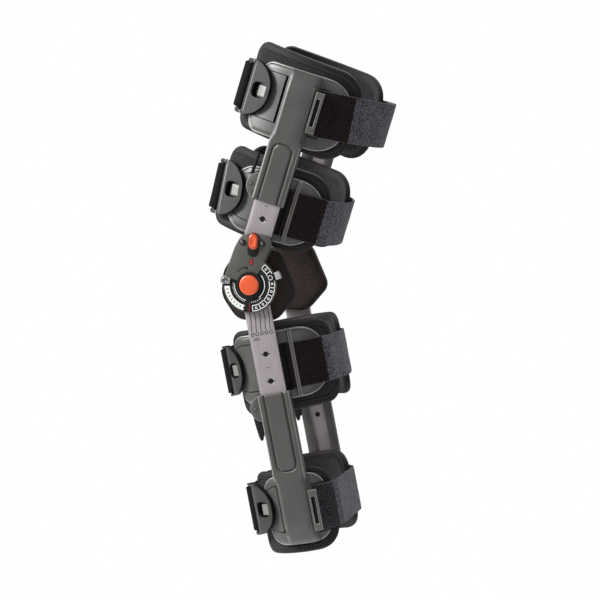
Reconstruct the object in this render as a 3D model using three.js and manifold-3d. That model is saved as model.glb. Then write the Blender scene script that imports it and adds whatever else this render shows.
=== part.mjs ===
// A post-operative knee brace: two hinged side bars carry four padded cuffs and their straps.
// Millimetres, +Z up, +X to the back of the leg, -Y to its outer side.
// The origin lies in the knee, midway between the two hinges.

import * as THREE from "three";
import { mergeVertices } from "three/addons/utils/BufferGeometryUtils.js";
import Module from "manifold-3d";

const wasm = await Module();
wasm.setup();

// Driving dimensions
const GAP = 0.3; // between pieces that touch
const FIT = 0.4; // between pieces that slide
const LAP = 1; // how far joins and cuts run past a surface
const THIGH_LEAN = 17.25; // degrees that the thigh bar's top leans to the back
const CALF_LEAN = -11.2; // degrees that the calf bar's foot lies to the back
const HOUSING_LEAN = -14; // degrees from the thigh bar to the hinge housing, to the front
const THIGH_BAR_X = -8.3; // middle of the thigh bar, in front of the hinge axis
const CALF_BAR_X = 1.4; // middle of the calf bar, behind the hinge axis

// Distances out from the middle of the knee
const BAR_IN = 73.5;
const BAR_OUT = 76.5;
const COVER_IN = BAR_OUT + FIT;
const COVER_OUT = 82.5;
const BACK_PLATE_IN = 70.6;
const CONDYLE_PAD_IN = 57;
const CONDYLE_PAD_EDGE = 61;

const BAR_WIDTH = 28.5;
const BAR_CORNER = 4;
const BAR_HEAD_RADIUS = 20;
const DETENT_RADIUS = 2.9;
const DETENT_PITCH = 28.6;
const DETENT_COUNT = 4;
const THIGH_BAR = { from: 27, to: 197, firstDetent: 69 };
const CALF_BAR = { to: -205, firstDetent: -74 };

const CHANNEL = {
  halfWidth: 17.6,
  halfBore: BAR_WIDTH / 2 + FIT,
  halfSlot: 8.6,
  lipIn: 71,
  out: 79.2,
  edge: 1.4,
  panelHalf: 11.5,
  panelOut: 80.3,
  panelCorner: 5,
  endWall: 3,
  spineInset: 6,
};
const TAB = { in: 71.6, out: 75.4, corner: 1.5 };
const BRIDGE = { reach: 25.6, height: 43, in: 74.6, out: 76.8, slitFrom: 18.6, slitTo: 23, slit: 29 };
const RIB = { from: 22.8, to: 26.4, rise: 4.4, tunnel: 2.5, past: 3 };
const BOSS_HALF = 7.8;

const PAD_THICK = 9;
const PAD_EDGE = 5.5;
const PAD_ROUND = 0.09; // share of the pad's height taken by its rounded edge
const PLATE_IN = PAD_THICK + FIT;
const PLATE_THICK = 2.4;
const STRAP_THICK = 1.8;
const STRAP_WIDTH = 48;
const STRAP_CUT = STRAP_WIDTH + 2;
const STRAP_GAP = 2 * GAP; // from a strap to what it lies on
const STRAP_EASE = { past: 3, fall: 16, lean: 1.5, clipLift: 1.3, clipDip: 3.4 };
const GROOVE = { wide: 0.9, deep: 1, start: 4 };
const TONGUE_SLOT = { from: -20.4, to: -18 };

const CLIP = { rim: 3, thick: 5, lift: 0.8, barWide: 3.4, slot: 4, tip: 3, bow: 26 };
const WINDOW = { wide: 16.5, tall: 16.5, wall: 1.6 };
const POST = { half: 5.8, wide: 7.6 };

const DIAL_RADIUS = 29;
const BACK_PLATE = { inset: 4, acrossShare: 0.86, upShare: 0.96 };
const CAP = { radius: 10.4, rise: 3.2, dome: 1, shoulder: 0.7 };
const RIVET = { radius: 3.2, rise: 1.6, top: 0.8, shoulder: 0.75, front: -10, rear: 11.2, up: 44 };
const LOCK = { across: 2.1, low: 37, high: 54, half: 5.1, rise: 3.6 };
const POCKET = { low: 30.4, deep: 2.2, half: LOCK.half + 0.8 };
const CONDYLE = { corner: 9, face: 0.9 };
const STOP = { in: 21.5, rim: DIAL_RADIUS + 0.6, spread: 22, rise: 1.8, skirt: 5 };

// Range stops on the dial: angle from the back of the dial, reach of the thumb tab
const STOPS = {
  extension_stop: { angle: 172.4, out: 31.6 },
  flexion_stop: { angle: 22.5, out: 35 },
};

// Leg under each cuff: bar offset, depths from the bar to front and back, half-width
const SECTIONS = {
  thigh_upper: { bar: THIGH_BAR_X, front: 74, back: 80, side: 59.4 },
  thigh_lower: { bar: THIGH_BAR_X, front: 68, back: 65, side: 58.3 },
  calf_upper: { bar: CALF_BAR_X, front: 50, back: 53.2, side: 56 },
  calf_lower: { bar: CALF_BAR_X, front: 50.5, back: 36.5, side: 55 },
};

// Pads: x of the front and back edges, heights, corner radii there, drop per mm towards the back
const PADS = {
  thigh_upper: { front: -76, back: 52, low: 147, high: 241, frontCorner: 15, backCorner: 27, drop: 0.06 },
  thigh_lower: { front: -74, back: 50, low: 43.5, high: 130, frontCorner: 18, backCorner: 29, drop: 0.04 },
  calf_upper: { front: -45, back: 61, low: -138, high: -47, frontCorner: 16, backCorner: 21, drop: 0 },
  calf_lower: { front: -50, back: 37, low: -288, high: -199, frontCorner: 15, backCorner: 24, drop: 0 },
};

// Shell plates: x of the front and back edges, heights, corner radii at the front and the back
const PLATES = {
  thigh_upper: { front: -60, back: 44, low: 151, high: 227, round: 14, wing: 27 },
  thigh_lower: { front: -56, back: 44, low: 49, high: 119, round: 26, wing: 27 },
  calf_upper: { front: -40, back: 55, low: -125, high: -52, round: 14, wing: 27 },
  calf_lower: { front: -37, back: 31, low: -278, high: -204, round: 18, wing: 17 },
};

// Rear straps: height at the plate, rise at the back, how far they lie off the leg there
const REAR_STRAPS = {
  thigh_upper: { height: 189.5, rise: 5.5, off: STRAP_GAP },
  thigh_lower: { height: 82, rise: 0, off: STRAP_GAP },
  calf_upper: { height: -91, rise: 0, off: PAD_THICK + STRAP_GAP },
  calf_lower: { height: -243, rise: 0, off: STRAP_GAP },
};

// Clips: height, half of the length, x of the flat side, depth; rise of the front strap and how far it
// lies off the leg
const CLIPS = {
  thigh_upper: { height: 194, half: 29, flat: -77, depth: 33, rise: 0, off: 7 },
  thigh_lower: { height: 85, half: 29, flat: -74.5, depth: 33, rise: -3, off: 7 },
  calf_upper: { height: -87, half: 27, flat: -55.5, depth: 24.5, rise: 0, off: 10 },
  calf_lower: { height: -237.5, half: 28, flat: -58, depth: 32, rise: 0, off: 11 },
};

// Telescoping channels: inner and outer ends of the two end cuffs
const CHANNEL_ENDS = {
  thigh_upper: { inner: 86.5, outer: 224, panelEnd: 149 },
  calf_lower: { inner: -115.5, outer: -275, panelEnd: -198 },
};

// Bosses that carry the two middle cuffs on the bars
const BOSS_ENDS = {
  thigh_lower: { low: 54, high: 80 },
  calf_upper: { low: -104, high: -64 },
};

const FINISH = {
  aluminium: { color: 0x9c9599, roughness: 0.42, metalness: 0.75 },
  shell: { color: 0x4b4d49, roughness: 0.55, metalness: 0 },
  housing: { color: 0x3b3f3a, roughness: 0.5, metalness: 0 },
  pad: { color: 0x1b1b1d, roughness: 0.95, metalness: 0 },
  strap: { color: 0x26262c, roughness: 0.95, metalness: 0 },
  webbing: { color: 0x17171a, roughness: 0.9, metalness: 0 },
  orange: { color: 0xe8501c, roughness: 0.35, metalness: 0 },
  silver: { color: 0xb9b8ba, roughness: 0.3, metalness: 0.9 },
  rivet: { color: 0x2c2c2c, roughness: 0.35, metalness: 0.6 },
};

const TURN = Math.PI / 180;
const SEGMENTS = { dial: 28, fine: 20, round: 6, rivet: 10, small: 2 };
const CORNER_STEPS = 4;
const STATION_STEP = 9;
const ARCH_STEPS = 12;
const OUTLINE_STEP = 2; // degrees
const HALVINGS = 40;
const MERGE = 1e-3;

// Solids: geometry to and from the boolean library
function solid(geometry) {
  const bare = geometry.clone();
  bare.deleteAttribute("normal");
  bare.deleteAttribute("uv");
  const merged = mergeVertices(bare, MERGE);
  const mesh = new wasm.Mesh({
    numProp: 3,
    vertProperties: merged.attributes.position.array,
    triVerts: new Uint32Array(merged.index.array),
  });
  return new wasm.Manifold(mesh);
}

function geometryOf(body) {
  const mesh = body.getMesh();
  return new THREE.BufferGeometry()
    .setAttribute("position", new THREE.BufferAttribute(new Float32Array(mesh.vertProperties), 3))
    .setIndex(new THREE.BufferAttribute(new Uint32Array(mesh.triVerts), 1));
}

function shaped(base, joined, cut) {
  const whole = joined.reduce((body, piece) => body.add(solid(piece)), solid(base));
  return geometryOf(cut.reduce((body, piece) => body.subtract(solid(piece)), whole));
}

// The leg's outline at one cuff, measured by arc length from the bar, positive towards the back
class Section {
  constructor({ bar, front, back, side }) {
    Object.assign(this, { bar, front, back, side });
    this.table = [{ turn: 0, arc: 0 }];
    for (const way of [1, -1]) {
      let [x, y] = this.at(0, 0);
      let arc = 0;
      for (let degrees = OUTLINE_STEP; degrees <= 180; degrees += OUTLINE_STEP) {
        const [nextX, nextY] = this.at(way * degrees * TURN, 0);
        arc += Math.hypot(nextX - x, nextY - y);
        [x, y] = [nextX, nextY];
        this.table.push({ turn: way * degrees * TURN, arc: way * arc });
      }
    }
    this.table.sort((a, b) => a.arc - b.arc);
    this.backArc = this.arcOf(90 * TURN);
    this.frontArc = this.arcOf(-90 * TURN);
  }

  // A point at an angle round the leg, moved out along the outline's normal
  at(turn, out) {
    const depth = Math.sin(turn) >= 0 ? this.back : this.front;
    const normal = new THREE.Vector2(Math.sin(turn) / depth, -Math.cos(turn) / this.side).normalize();
    return [
      this.bar + depth * Math.sin(turn) + out * normal.x,
      -this.side * Math.cos(turn) + out * normal.y,
    ];
  }

  arcOf(turn) {
    return this.table.find((row) => row.turn >= turn - 1e-9).arc;
  }

  place(arc, out, z) {
    const after = this.table.findIndex((row) => row.arc >= arc);
    const [low, high] = [this.table[after - 1], this.table[after]];
    const share = (arc - low.arc) / (high.arc - low.arc);
    return [...this.at(low.turn + share * (high.turn - low.turn), out), z];
  }

  // Arc length on the outer half of the leg where a point that far out has the given x
  reach(x, out) {
    let [low, high] = [this.frontArc, this.backArc];
    for (let step = 0; step < HALVINGS; step++) {
      const middle = (low + high) / 2;
      if (this.place(middle, out, 0)[0] < x) low = middle;
      else high = middle;
    }
    return low;
  }
}

// A closed wall between an outer and an inner surface over arc stations and upward levels
function wall(stations, levels, outer, inner) {
  const positions = [];
  for (const surface of [outer, inner])
    for (const arc of stations) for (const level of levels) positions.push(...surface(arc, level));
  const rows = levels.length;
  const lastRow = rows - 1;
  const lastColumn = stations.length - 1;
  const skin = (column, row) => column * rows + row;
  const lining = (column, row) => (stations.length + column) * rows + row;
  const index = [];
  const quad = (a, b, c, d) => index.push(a, b, c, a, c, d);
  for (let i = 0; i < lastColumn; i++) {
    for (let j = 0; j < lastRow; j++) {
      quad(skin(i, j), skin(i + 1, j), skin(i + 1, j + 1), skin(i, j + 1));
      quad(lining(i, j), lining(i, j + 1), lining(i + 1, j + 1), lining(i + 1, j));
    }
    quad(skin(i, 0), lining(i, 0), lining(i + 1, 0), skin(i + 1, 0));
    quad(skin(i, lastRow), skin(i + 1, lastRow), lining(i + 1, lastRow), lining(i, lastRow));
  }
  for (let j = 0; j < lastRow; j++) {
    quad(skin(0, j), skin(0, j + 1), lining(0, j + 1), lining(0, j));
    quad(skin(lastColumn, j), lining(lastColumn, j), lining(lastColumn, j + 1), skin(lastColumn, j + 1));
  }
  return new THREE.BufferGeometry()
    .setAttribute("position", new THREE.Float32BufferAttribute(positions, 3))
    .setIndex(index);
}

// Arc stations from one end to the other, closer together round the corners
function stationsOf(from, to, fromCorner, toCorner) {
  const bend = [];
  for (let k = 0; k < CORNER_STEPS; k++) bend.push(1 - Math.cos((k * 90 * TURN) / CORNER_STEPS));
  const start = from + fromCorner;
  const span = to - toCorner - start;
  const count = Math.max(1, Math.ceil(Math.abs(span) / STATION_STEP));
  const middle = Array.from({ length: count + 1 }, (_, k) => start + (span * k) / count);
  const first = fromCorner ? bend.map((share) => from + fromCorner * share) : [];
  const last = toCorner ? bend.map((share) => to - toCorner * share).reverse() : [];
  return [...first, ...middle, ...last];
}

// Share of a corner's height that is left at a distance from the end
const cornerLeft = (distance, corner) =>
  distance >= corner ? 0 : 1 - Math.sqrt(1 - (1 - distance / corner) ** 2);

// A panel wrapped on the leg: an outline with rounded ends between two distances off the leg
function panel(section, outline, inside, outside, levels = [0, 1], edge = outside) {
  const { from, to, low, high, fromCorner = 0, toCorner = 0, drop = 0 } = outline;
  const { fromRise = fromCorner, toRise = toCorner, tilt = 0, pivot = [0, 0] } = outline;
  const height = (arc, level) => {
    const fromCut = fromRise * cornerLeft(arc - from, fromCorner);
    const toCut = toRise * cornerLeft(to - arc, toCorner);
    const tall = high - low - 2 * Math.max(fromCut, toCut);
    return (low + high) / 2 - drop * arc + (level - 0.5) * tall;
  };
  const centre = new THREE.Vector2(...pivot);
  const placed = (arc, level, out) => {
    const spot = new THREE.Vector2(arc, height(arc, level)).rotateAround(centre, tilt);
    return section.place(spot.x, out, spot.y);
  };
  const offset = (level) => (level === 0 || level === 1 ? edge : outside);
  return wall(
    stationsOf(from, to, fromCorner, toCorner),
    levels,
    (arc, level) => placed(arc, level, offset(level)),
    (arc, level) => placed(arc, level, inside),
  );
}

// A flat outline in x and z, as a plate between two distances out from the knee
function plate(shape, inside, outside, curveSegments = SEGMENTS.round) {
  const options = { depth: outside - inside, bevelEnabled: false, curveSegments };
  return new THREE.ExtrudeGeometry(shape, options).rotateX(Math.PI / 2).translate(0, -inside, 0);
}

function block(fromX, toX, inside, outside, low, high) {
  return new THREE.BoxGeometry(toX - fromX, outside - inside, high - low).translate(
    (fromX + toX) / 2,
    -(inside + outside) / 2,
    (low + high) / 2,
  );
}

function polygon(points, corner) {
  const shape = new THREE.Shape();
  points.forEach(([x, z], k) => {
    const here = new THREE.Vector2(x, z);
    const towards = (point) => new THREE.Vector2(...point).sub(here).setLength(corner).add(here);
    const before = towards(points.at(k - 1));
    const after = towards(points[(k + 1) % points.length]);
    if (k === 0) shape.moveTo(before.x, before.y);
    else shape.lineTo(before.x, before.y);
    shape.quadraticCurveTo(x, z, after.x, after.y);
  });
  return shape;
}

function stadium(x, half, low, high) {
  const shape = new THREE.Shape();
  shape.absarc(x, high - half, half, 0, Math.PI, false);
  shape.absarc(x, low + half, half, Math.PI, 2 * Math.PI, false);
  return shape;
}

function ringSector(inside, outside, middle, spread) {
  const [start, end] = [(middle - spread / 2) * TURN, (middle + spread / 2) * TURN];
  const shape = new THREE.Shape();
  shape.absarc(0, 0, outside, start, end, false);
  shape.absarc(0, 0, inside, end, start, true);
  return shape;
}

// A turned piece on the hinge axis or beside it: [radius, distance out] pairs from the axis out
function turned(profile, segments) {
  const points = profile.map(([radius, out]) => new THREE.Vector2(radius, out));
  return new THREE.LatheGeometry(points, segments).rotateX(Math.PI);
}

// Bars
function detents(shape, x, first, way) {
  for (let k = 0; k < DETENT_COUNT; k++) {
    const hole = new THREE.Path();
    hole.absarc(x, first + way * k * DETENT_PITCH, DETENT_RADIUS, 0, 2 * Math.PI, true);
    shape.holes.push(hole);
  }
  return shape;
}

function thighBar() {
  const half = BAR_WIDTH / 2;
  const [left, right] = [THIGH_BAR_X - half, THIGH_BAR_X + half];
  const { from, to, firstDetent } = THIGH_BAR;
  const outline = polygon([[left, from], [right, from], [right, to], [left, to]], BAR_CORNER);
  return plate(detents(outline, THIGH_BAR_X, firstDetent, 1), BAR_IN, BAR_OUT, SEGMENTS.round);
}

function calfBar() {
  const half = BAR_WIDTH / 2;
  const [left, right] = [CALF_BAR_X - half, CALF_BAR_X + half];
  const { to, firstDetent } = CALF_BAR;
  const shoulder = (x) => Math.atan2(-Math.sqrt(BAR_HEAD_RADIUS ** 2 - x ** 2), x);
  const outline = new THREE.Shape();
  outline.absarc(0, 0, BAR_HEAD_RADIUS, shoulder(right), shoulder(left) + 2 * Math.PI, false);
  outline.lineTo(left, to + BAR_CORNER);
  outline.quadraticCurveTo(left, to, left + BAR_CORNER, to);
  outline.lineTo(right - BAR_CORNER, to);
  outline.quadraticCurveTo(right, to, right, to + BAR_CORNER);
  return plate(detents(outline, CALF_BAR_X, firstDetent, -1), BAR_IN, BAR_OUT, SEGMENTS.round);
}

// Hinge, in the housing's own frame: x across the dial, z up its neck
function neckAndDial(radius, neck) {
  const shape = new THREE.Shape();
  const first = neck[0];
  const last = neck.at(-1);
  const start = Math.atan2(last[1], last[0]);
  const end = Math.atan2(first[1], first[0]);
  shape.absarc(0, 0, radius, start, end + 2 * Math.PI, false);
  neck.slice(1, -1).forEach(([x, z]) => shape.lineTo(x, z));
  return shape;
}

const COVER_NECK = [
  [14.5, 25.1],
  [18.4, 35],
  [21, 43],
  [20.6, 49],
  [17, 52.6],
  [5, 54],
  [-8, 53],
  [-13.6, 49],
  [-19, 37],
  [-27.5, 9.2],
];

function hingeCover() {
  const pocket = stadium(LOCK.across, POCKET.half, POCKET.low, LOCK.high + 2 * POCKET.half);
  return shaped(
    plate(neckAndDial(DIAL_RADIUS, COVER_NECK), COVER_IN, COVER_OUT, SEGMENTS.dial),
    [],
    [plate(pocket, COVER_OUT - POCKET.deep, COVER_OUT + LAP)],
  );
}

function hingeBackPlate() {
  const { inset, acrossShare, upShare } = BACK_PLATE;
  const neck = COVER_NECK.map(([x, z]) => [x * acrossShare, z * upShare]);
  return plate(neckAndDial(DIAL_RADIUS - inset, neck), BACK_PLATE_IN, BAR_IN - FIT, SEGMENTS.fine);
}

function hingeCap() {
  const { radius, rise, dome, shoulder } = CAP;
  const foot = COVER_OUT + GAP;
  const rim = foot + rise - dome;
  const profile = [
    [0, foot],
    [radius, foot],
    [radius, rim],
    [radius * shoulder, rim + dome * shoulder],
    [0, rim + dome],
  ];
  return turned(profile, SEGMENTS.fine);
}

function rivetHead() {
  const { radius, rise, top, shoulder } = RIVET;
  const foot = COVER_OUT + GAP;
  const profile = [
    [0, foot],
    [radius, foot],
    [radius * top, foot + rise * shoulder],
    [0, foot + rise],
  ];
  return turned(profile, SEGMENTS.rivet);
}

function lockSlider() {
  const foot = COVER_OUT - POCKET.deep + GAP;
  const { across, half, low, high, rise } = LOCK;
  return plate(stadium(across, half, low, high), foot, COVER_OUT + rise);
}

function rangeStop({ angle, out }) {
  const foot = COVER_OUT + GAP;
  const top = foot + STOP.rise;
  const pad = ringSector(STOP.in, out, angle, STOP.spread);
  const skirt = ringSector(STOP.rim, out, angle, STOP.spread);
  return shaped(
    plate(pad, foot, top, SEGMENTS.small),
    [plate(skirt, foot - STOP.skirt, top, SEGMENTS.small)],
    [],
  );
}

const CONDYLE_OUTLINE = [
  [47.5, -8],
  [25, -37],
  [-15, -38],
  [-34, -14],
  [-33, 14],
  [-16, 34],
  [25, 36],
];

function condylePad() {
  const { corner, face } = CONDYLE;
  const inner = CONDYLE_OUTLINE.map(([x, z]) => [x * face, z * face]);
  return shaped(
    plate(polygon(CONDYLE_OUTLINE, corner), CONDYLE_PAD_EDGE, BACK_PLATE_IN - FIT, SEGMENTS.small),
    [plate(polygon(inner, corner), CONDYLE_PAD_IN, CONDYLE_PAD_EDGE + LAP, SEGMENTS.small)],
    [],
  );
}

// Cuffs
function padOf(name, section) {
  const { front, back, low, high, frontCorner, backCorner, drop } = PADS[name];
  const outline = {
    from: section.reach(front, PAD_THICK),
    to: section.reach(back, PAD_THICK),
    low,
    high,
    fromCorner: frontCorner,
    toCorner: backCorner,
    drop,
  };
  return panel(section, outline, 0, PAD_THICK, [0, PAD_ROUND, 1 - PAD_ROUND, 1], PAD_EDGE);
}

// Where a cuff's plate, clip and strap lie along the leg
function layout(name, section) {
  const { front, back } = PLATES[name];
  const { height, flat, depth, rise } = CLIPS[name];
  const plateOut = PLATE_IN + PLATE_THICK;
  const clipIn = plateOut + CLIP.lift;
  const clipFlat = section.reach(flat, clipIn + CLIP.thick);
  const clipTip = clipFlat + depth;
  const slotTo = clipFlat + CLIP.barWide + CLIP.slot;
  const strapStart = slotTo - LAP;
  const windowTo = clipTip - CLIP.tip;
  return {
    strapStart,
    turned: {
      tilt: Math.atan((-2 * rise) / (strapStart - section.frontArc)),
      pivot: [strapStart, height],
    },
    plateOut,
    clipIn,
    clipFlat,
    clipTip,
    windowFrom: Math.max(windowTo - WINDOW.wide, slotTo + WINDOW.wall),
    windowTo,
    plateFront: section.reach(front, plateOut),
    plateBack: section.reach(back, plateOut),
    across: (x) => section.reach(section.bar + x, plateOut),
  };
}

function plateOf(name, section, place) {
  const { low, high, round, wing } = PLATES[name];
  const { plateFront: from, plateBack: to, plateOut } = place;
  return panel(section, { from, to, low, high, fromCorner: round, toCorner: wing }, PLATE_IN, plateOut);
}

// The post that the clip hooks on, and the two grooves and the slot that free the tongue under it
function clipPost(name, section, place) {
  const { height } = CLIPS[name];
  const postTo = place.windowTo - 2 * GAP;
  const outline = {
    ...place.turned,
    from: postTo - POST.wide,
    to: postTo,
    low: height - POST.half,
    high: height + POST.half,
  };
  return panel(section, outline, PLATE_IN + LAP, place.clipIn + CLIP.thick);
}

function tongueCuts(name, section, place, slotted) {
  const { height } = CLIPS[name];
  const { wide, deep, start } = GROOVE;
  const [slotFrom, slotTo] = [place.across(TONGUE_SLOT.from), place.across(TONGUE_SLOT.to)];
  const [low, high] = [height - STRAP_CUT / 2, height + STRAP_CUT / 2];
  const groove = (z) => {
    const outline = { from: place.plateFront + start, to: slotTo, low: z - wide / 2, high: z + wide / 2 };
    return panel(section, outline, place.plateOut - deep, place.plateOut + LAP);
  };
  const slotOutline = { from: slotFrom, to: slotTo, low, high };
  const slot = panel(section, slotOutline, PLATE_IN - LAP, place.plateOut + LAP);
  return slotted ? [groove(low), groove(high), slot] : [groove(low), groove(high)];
}

// A middle cuff's shell: plate behind the bar, boss to the bar, and a rib over the rear strap
function middleShell(name, section) {
  const place = layout(name, section);
  const { low, high } = PLATES[name];
  const { height } = REAR_STRAPS[name];
  const [ribFrom, ribTo] = [place.across(RIB.from), place.across(RIB.to)];
  const strap = { low: height - STRAP_CUT / 2, high: height + STRAP_CUT / 2 };
  const rib = panel(
    section,
    { from: ribFrom, to: ribTo, low: low + LAP, high: high - LAP },
    PLATE_IN + LAP,
    place.plateOut + RIB.rise,
  );
  const tunnel = panel(
    section,
    { ...strap, from: ribFrom - RIB.past, to: ribTo + RIB.past },
    place.plateOut,
    place.plateOut + RIB.tunnel,
  );
  const opening = panel(
    section,
    { ...strap, from: place.across(CHANNEL.halfWidth), to: ribFrom },
    PLATE_IN - LAP,
    place.plateOut + LAP,
  );
  const ends = BOSS_ENDS[name];
  const [bossFrom, bossTo] = [section.bar - BOSS_HALF, section.bar + BOSS_HALF];
  const bossIn = section.side + PLATE_IN + LAP;
  const boss = block(bossFrom, bossTo, bossIn, BAR_IN - GAP, ends.low, ends.high);
  return shaped(
    plateOf(name, section, place),
    [rib, boss, clipPost(name, section, place)],
    [tunnel, opening, ...tongueCuts(name, section, place, false)],
  );
}

// The telescoping channel: a C-shaped track round the bar with a raised panel on its face
function channelTrack(x, low, high) {
  const { halfWidth, halfBore, halfSlot, lipIn, out, edge } = CHANNEL;
  const half = [
    [halfSlot, -lipIn],
    [halfWidth, -lipIn],
    [halfWidth, edge - out],
    [halfWidth - edge, -out],
  ];
  const bore = [
    [halfSlot, FIT - BAR_IN],
    [halfBore, FIT - BAR_IN],
    [halfBore, -COVER_IN],
  ];
  const mirror = (points) => points.map(([px, py]) => [-px, py]).reverse();
  const outline = [...half, ...mirror(half), ...mirror(bore).reverse(), ...bore.reverse()];
  const shape = new THREE.Shape(outline.map(([px, py]) => new THREE.Vector2(x + px, py)));
  return new THREE.ExtrudeGeometry(shape, { depth: high - low, bevelEnabled: false }).translate(0, 0, low);
}

// Length tab: across from the bar's middle, along from the channel's inner end
const TAB_OUTLINE = [
  [-16.6, 2],
  [-22, 6],
  [-27, 11],
  [-27, 18],
  [-26, 44],
  [-23, 44],
  [-16.6, 34],
];

function lengthTab(x, inner, way) {
  const points = TAB_OUTLINE.map(([across, along]) => [x + across, inner + way * along]);
  return plate(polygon(way > 0 ? points.reverse() : points, TAB.corner), TAB.in, TAB.out, SEGMENTS.small);
}

function raisedPanel(x, low, high) {
  const { panelHalf, panelCorner, panelOut, out } = CHANNEL;
  const [left, right] = [x - panelHalf, x + panelHalf];
  const outline = polygon([[left, low], [right, low], [right, high], [left, high]], panelCorner);
  return plate(outline, out - LAP, panelOut, SEGMENTS.small);
}

function strapBridge(x, height) {
  const { reach, in: inside, out: outside, slitFrom, slitTo } = BRIDGE;
  const [low, high] = [height - BRIDGE.height / 2, height + BRIDGE.height / 2];
  const [slitLow, slitHigh] = [height - BRIDGE.slit / 2, height + BRIDGE.slit / 2];
  return {
    bridge: block(x + CHANNEL.halfWidth - LAP, x + reach, inside, outside, low, high),
    slit: block(x + slitFrom, x + slitTo, inside - LAP, outside + LAP, slitLow, slitHigh),
  };
}

function endShell(name, section) {
  const place = layout(name, section);
  const { low, high } = PLATES[name];
  const { inner, outer, panelEnd } = CHANNEL_ENDS[name];
  const { halfWidth, lipIn, endWall, spineInset, out } = CHANNEL;
  const { bridge, slit } = strapBridge(section.bar, REAR_STRAPS[name].height);
  const x = section.bar;
  const spineIn = section.side + PLATE_IN + LAP;
  const [left, right] = [x - halfWidth, x + halfWidth];
  const joined = [
    channelTrack(x, Math.min(inner, outer), Math.max(inner, outer)),
    raisedPanel(x, Math.min(inner, panelEnd), Math.max(inner, panelEnd)),
    block(left, right, spineIn, lipIn + LAP, low + spineInset, high - spineInset),
    block(left, right, lipIn, out - LAP, outer - endWall, outer + endWall),
    bridge,
    lengthTab(x, inner, Math.sign(outer)),
    clipPost(name, section, place),
  ];
  const cut = [slit, ...tongueCuts(name, section, place, true)];
  return shaped(plateOf(name, section, place), joined, cut);
}

// The D-shaped clip: a slot for the strap by its flat side and a window for the post
function clipOf(name, section) {
  const place = layout(name, section);
  const { height, half, depth } = CLIPS[name];
  const outline = {
    from: place.clipFlat,
    to: place.clipTip,
    low: height - half,
    high: height + half,
    fromCorner: CLIP.rim,
    toCorner: Math.min(CLIP.bow, depth - CLIP.rim - LAP),
    toRise: half - CLIP.tip,
  };
  const top = place.clipIn + CLIP.thick;
  const slotFrom = place.clipFlat + CLIP.barWide;
  const strapHalf = STRAP_WIDTH / 2 + 3 * GAP;
  const slot = {
    from: slotFrom,
    to: slotFrom + CLIP.slot,
    low: height - strapHalf,
    high: height + strapHalf,
  };
  const opening = {
    from: place.windowFrom,
    to: place.windowTo,
    low: height - WINDOW.tall / 2,
    high: height + WINDOW.tall / 2,
  };
  const turnedPanel = (shape, inside, outside) =>
    panel(section, { ...place.turned, ...shape }, inside, outside);
  return shaped(
    turnedPanel(outline, place.clipIn, top),
    [],
    [slot, opening].map((hole) => turnedPanel(hole, place.clipIn - LAP, top + LAP)),
  );
}

// A strap: up to its last knot it lies along the leg, eased between [arc, off] knots, then it
// arches to an apex in front of the leg or behind it, and the far half mirrors the near half
function strap(section, knots, apex, height, rise) {
  const middle = apex > section.bar ? section.backArc : section.frontArc;
  const half = knots[0][0] - middle;
  const near = knots.slice(1).flatMap(([arc, off], k) => {
    const [fromArc, fromOff] = knots[k];
    const eased = (at) => {
      const share = (at - fromArc) / (arc - fromArc);
      return THREE.MathUtils.lerp(fromOff, off, THREE.MathUtils.smoothstep(share, 0, 1));
    };
    return stationsOf(fromArc, arc, 0, 0)
      .slice(k === 0 ? 0 : 1)
      .map((at) => ({ arc: at, off: eased(at), side: 1 }));
  });
  const arch = [];
  for (let k = 1; k < ARCH_STEPS; k++) arch.push({ ...near.at(-1), side: 1 - (2 * k) / ARCH_STEPS });
  const far = near.map((station) => ({ ...station, side: -1 })).reverse();
  const stations = [...near, ...arch, ...far];
  const placed = ({ arc, off, side }, level, lift) => {
    const share = (arc - middle) / half;
    const slope = Math.atan((-2 * rise * share) / half);
    const across = (level - 0.5) * STRAP_WIDTH;
    const [x, y] = section.place(arc - across * Math.sin(slope), off + lift, 0);
    const tip = apex + Math.sign(apex - section.bar) * lift;
    const z = height + rise * (1 - (share * side) ** 2) + across * Math.cos(slope * side);
    return [tip + (x - tip) * side ** 2, y * side, z];
  };
  return wall(
    half < 0 ? stations : stations.reverse(),
    [0, 1],
    (station, level) => placed(station, level, STRAP_THICK),
    (station, level) => placed(station, level, 0),
  );
}

function rearStrap(name, section) {
  const place = layout(name, section);
  const { height, rise, off } = REAR_STRAPS[name];
  const { past, fall, lean } = STRAP_EASE;
  const onPlate = place.plateOut + STRAP_GAP;
  const onPad = PAD_THICK + STRAP_GAP;
  const padEnd = section.reach(PADS[name].back, PAD_THICK);
  const skew = (rise * STRAP_WIDTH) / section.backArc;
  const knots = [
    [place.across(CHANNEL.halfWidth + LAP + lean * skew), onPlate],
    [place.plateBack + past, onPlate],
    [Math.min(place.plateBack + fall, padEnd), onPad],
    [padEnd + past, onPad],
  ];
  return strap(section, knots, section.bar + section.back + off, height, rise);
}

function frontStrap(name, section) {
  const place = layout(name, section);
  const { height, rise, off } = CLIPS[name];
  const { clipLift, clipDip } = STRAP_EASE;
  const over = place.clipIn + CLIP.thick + clipLift;
  const knots = [
    [place.strapStart, over - clipDip],
    [place.clipFlat + CLIP.barWide - LAP / 2, over],
    [place.clipFlat - LAP, over],
  ];
  return strap(section, knots, section.bar - section.front - off, height, rise);
}

// Assembly: each side piece is made once and set on the outer side and, mirrored, on the inner side
const brace = new THREE.Group();
const thigh = new THREE.Group();
const calf = new THREE.Group();
thigh.rotation.y = THIGH_LEAN * TURN;
calf.rotation.y = CALF_LEAN * TURN;
brace.add(thigh, calf);

function add(parent, name, geometry, finish) {
  const mesh = new THREE.Mesh(geometry, new THREE.MeshStandardMaterial(FINISH[finish]));
  mesh.name = name;
  parent.add(mesh);
  return mesh;
}

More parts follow.
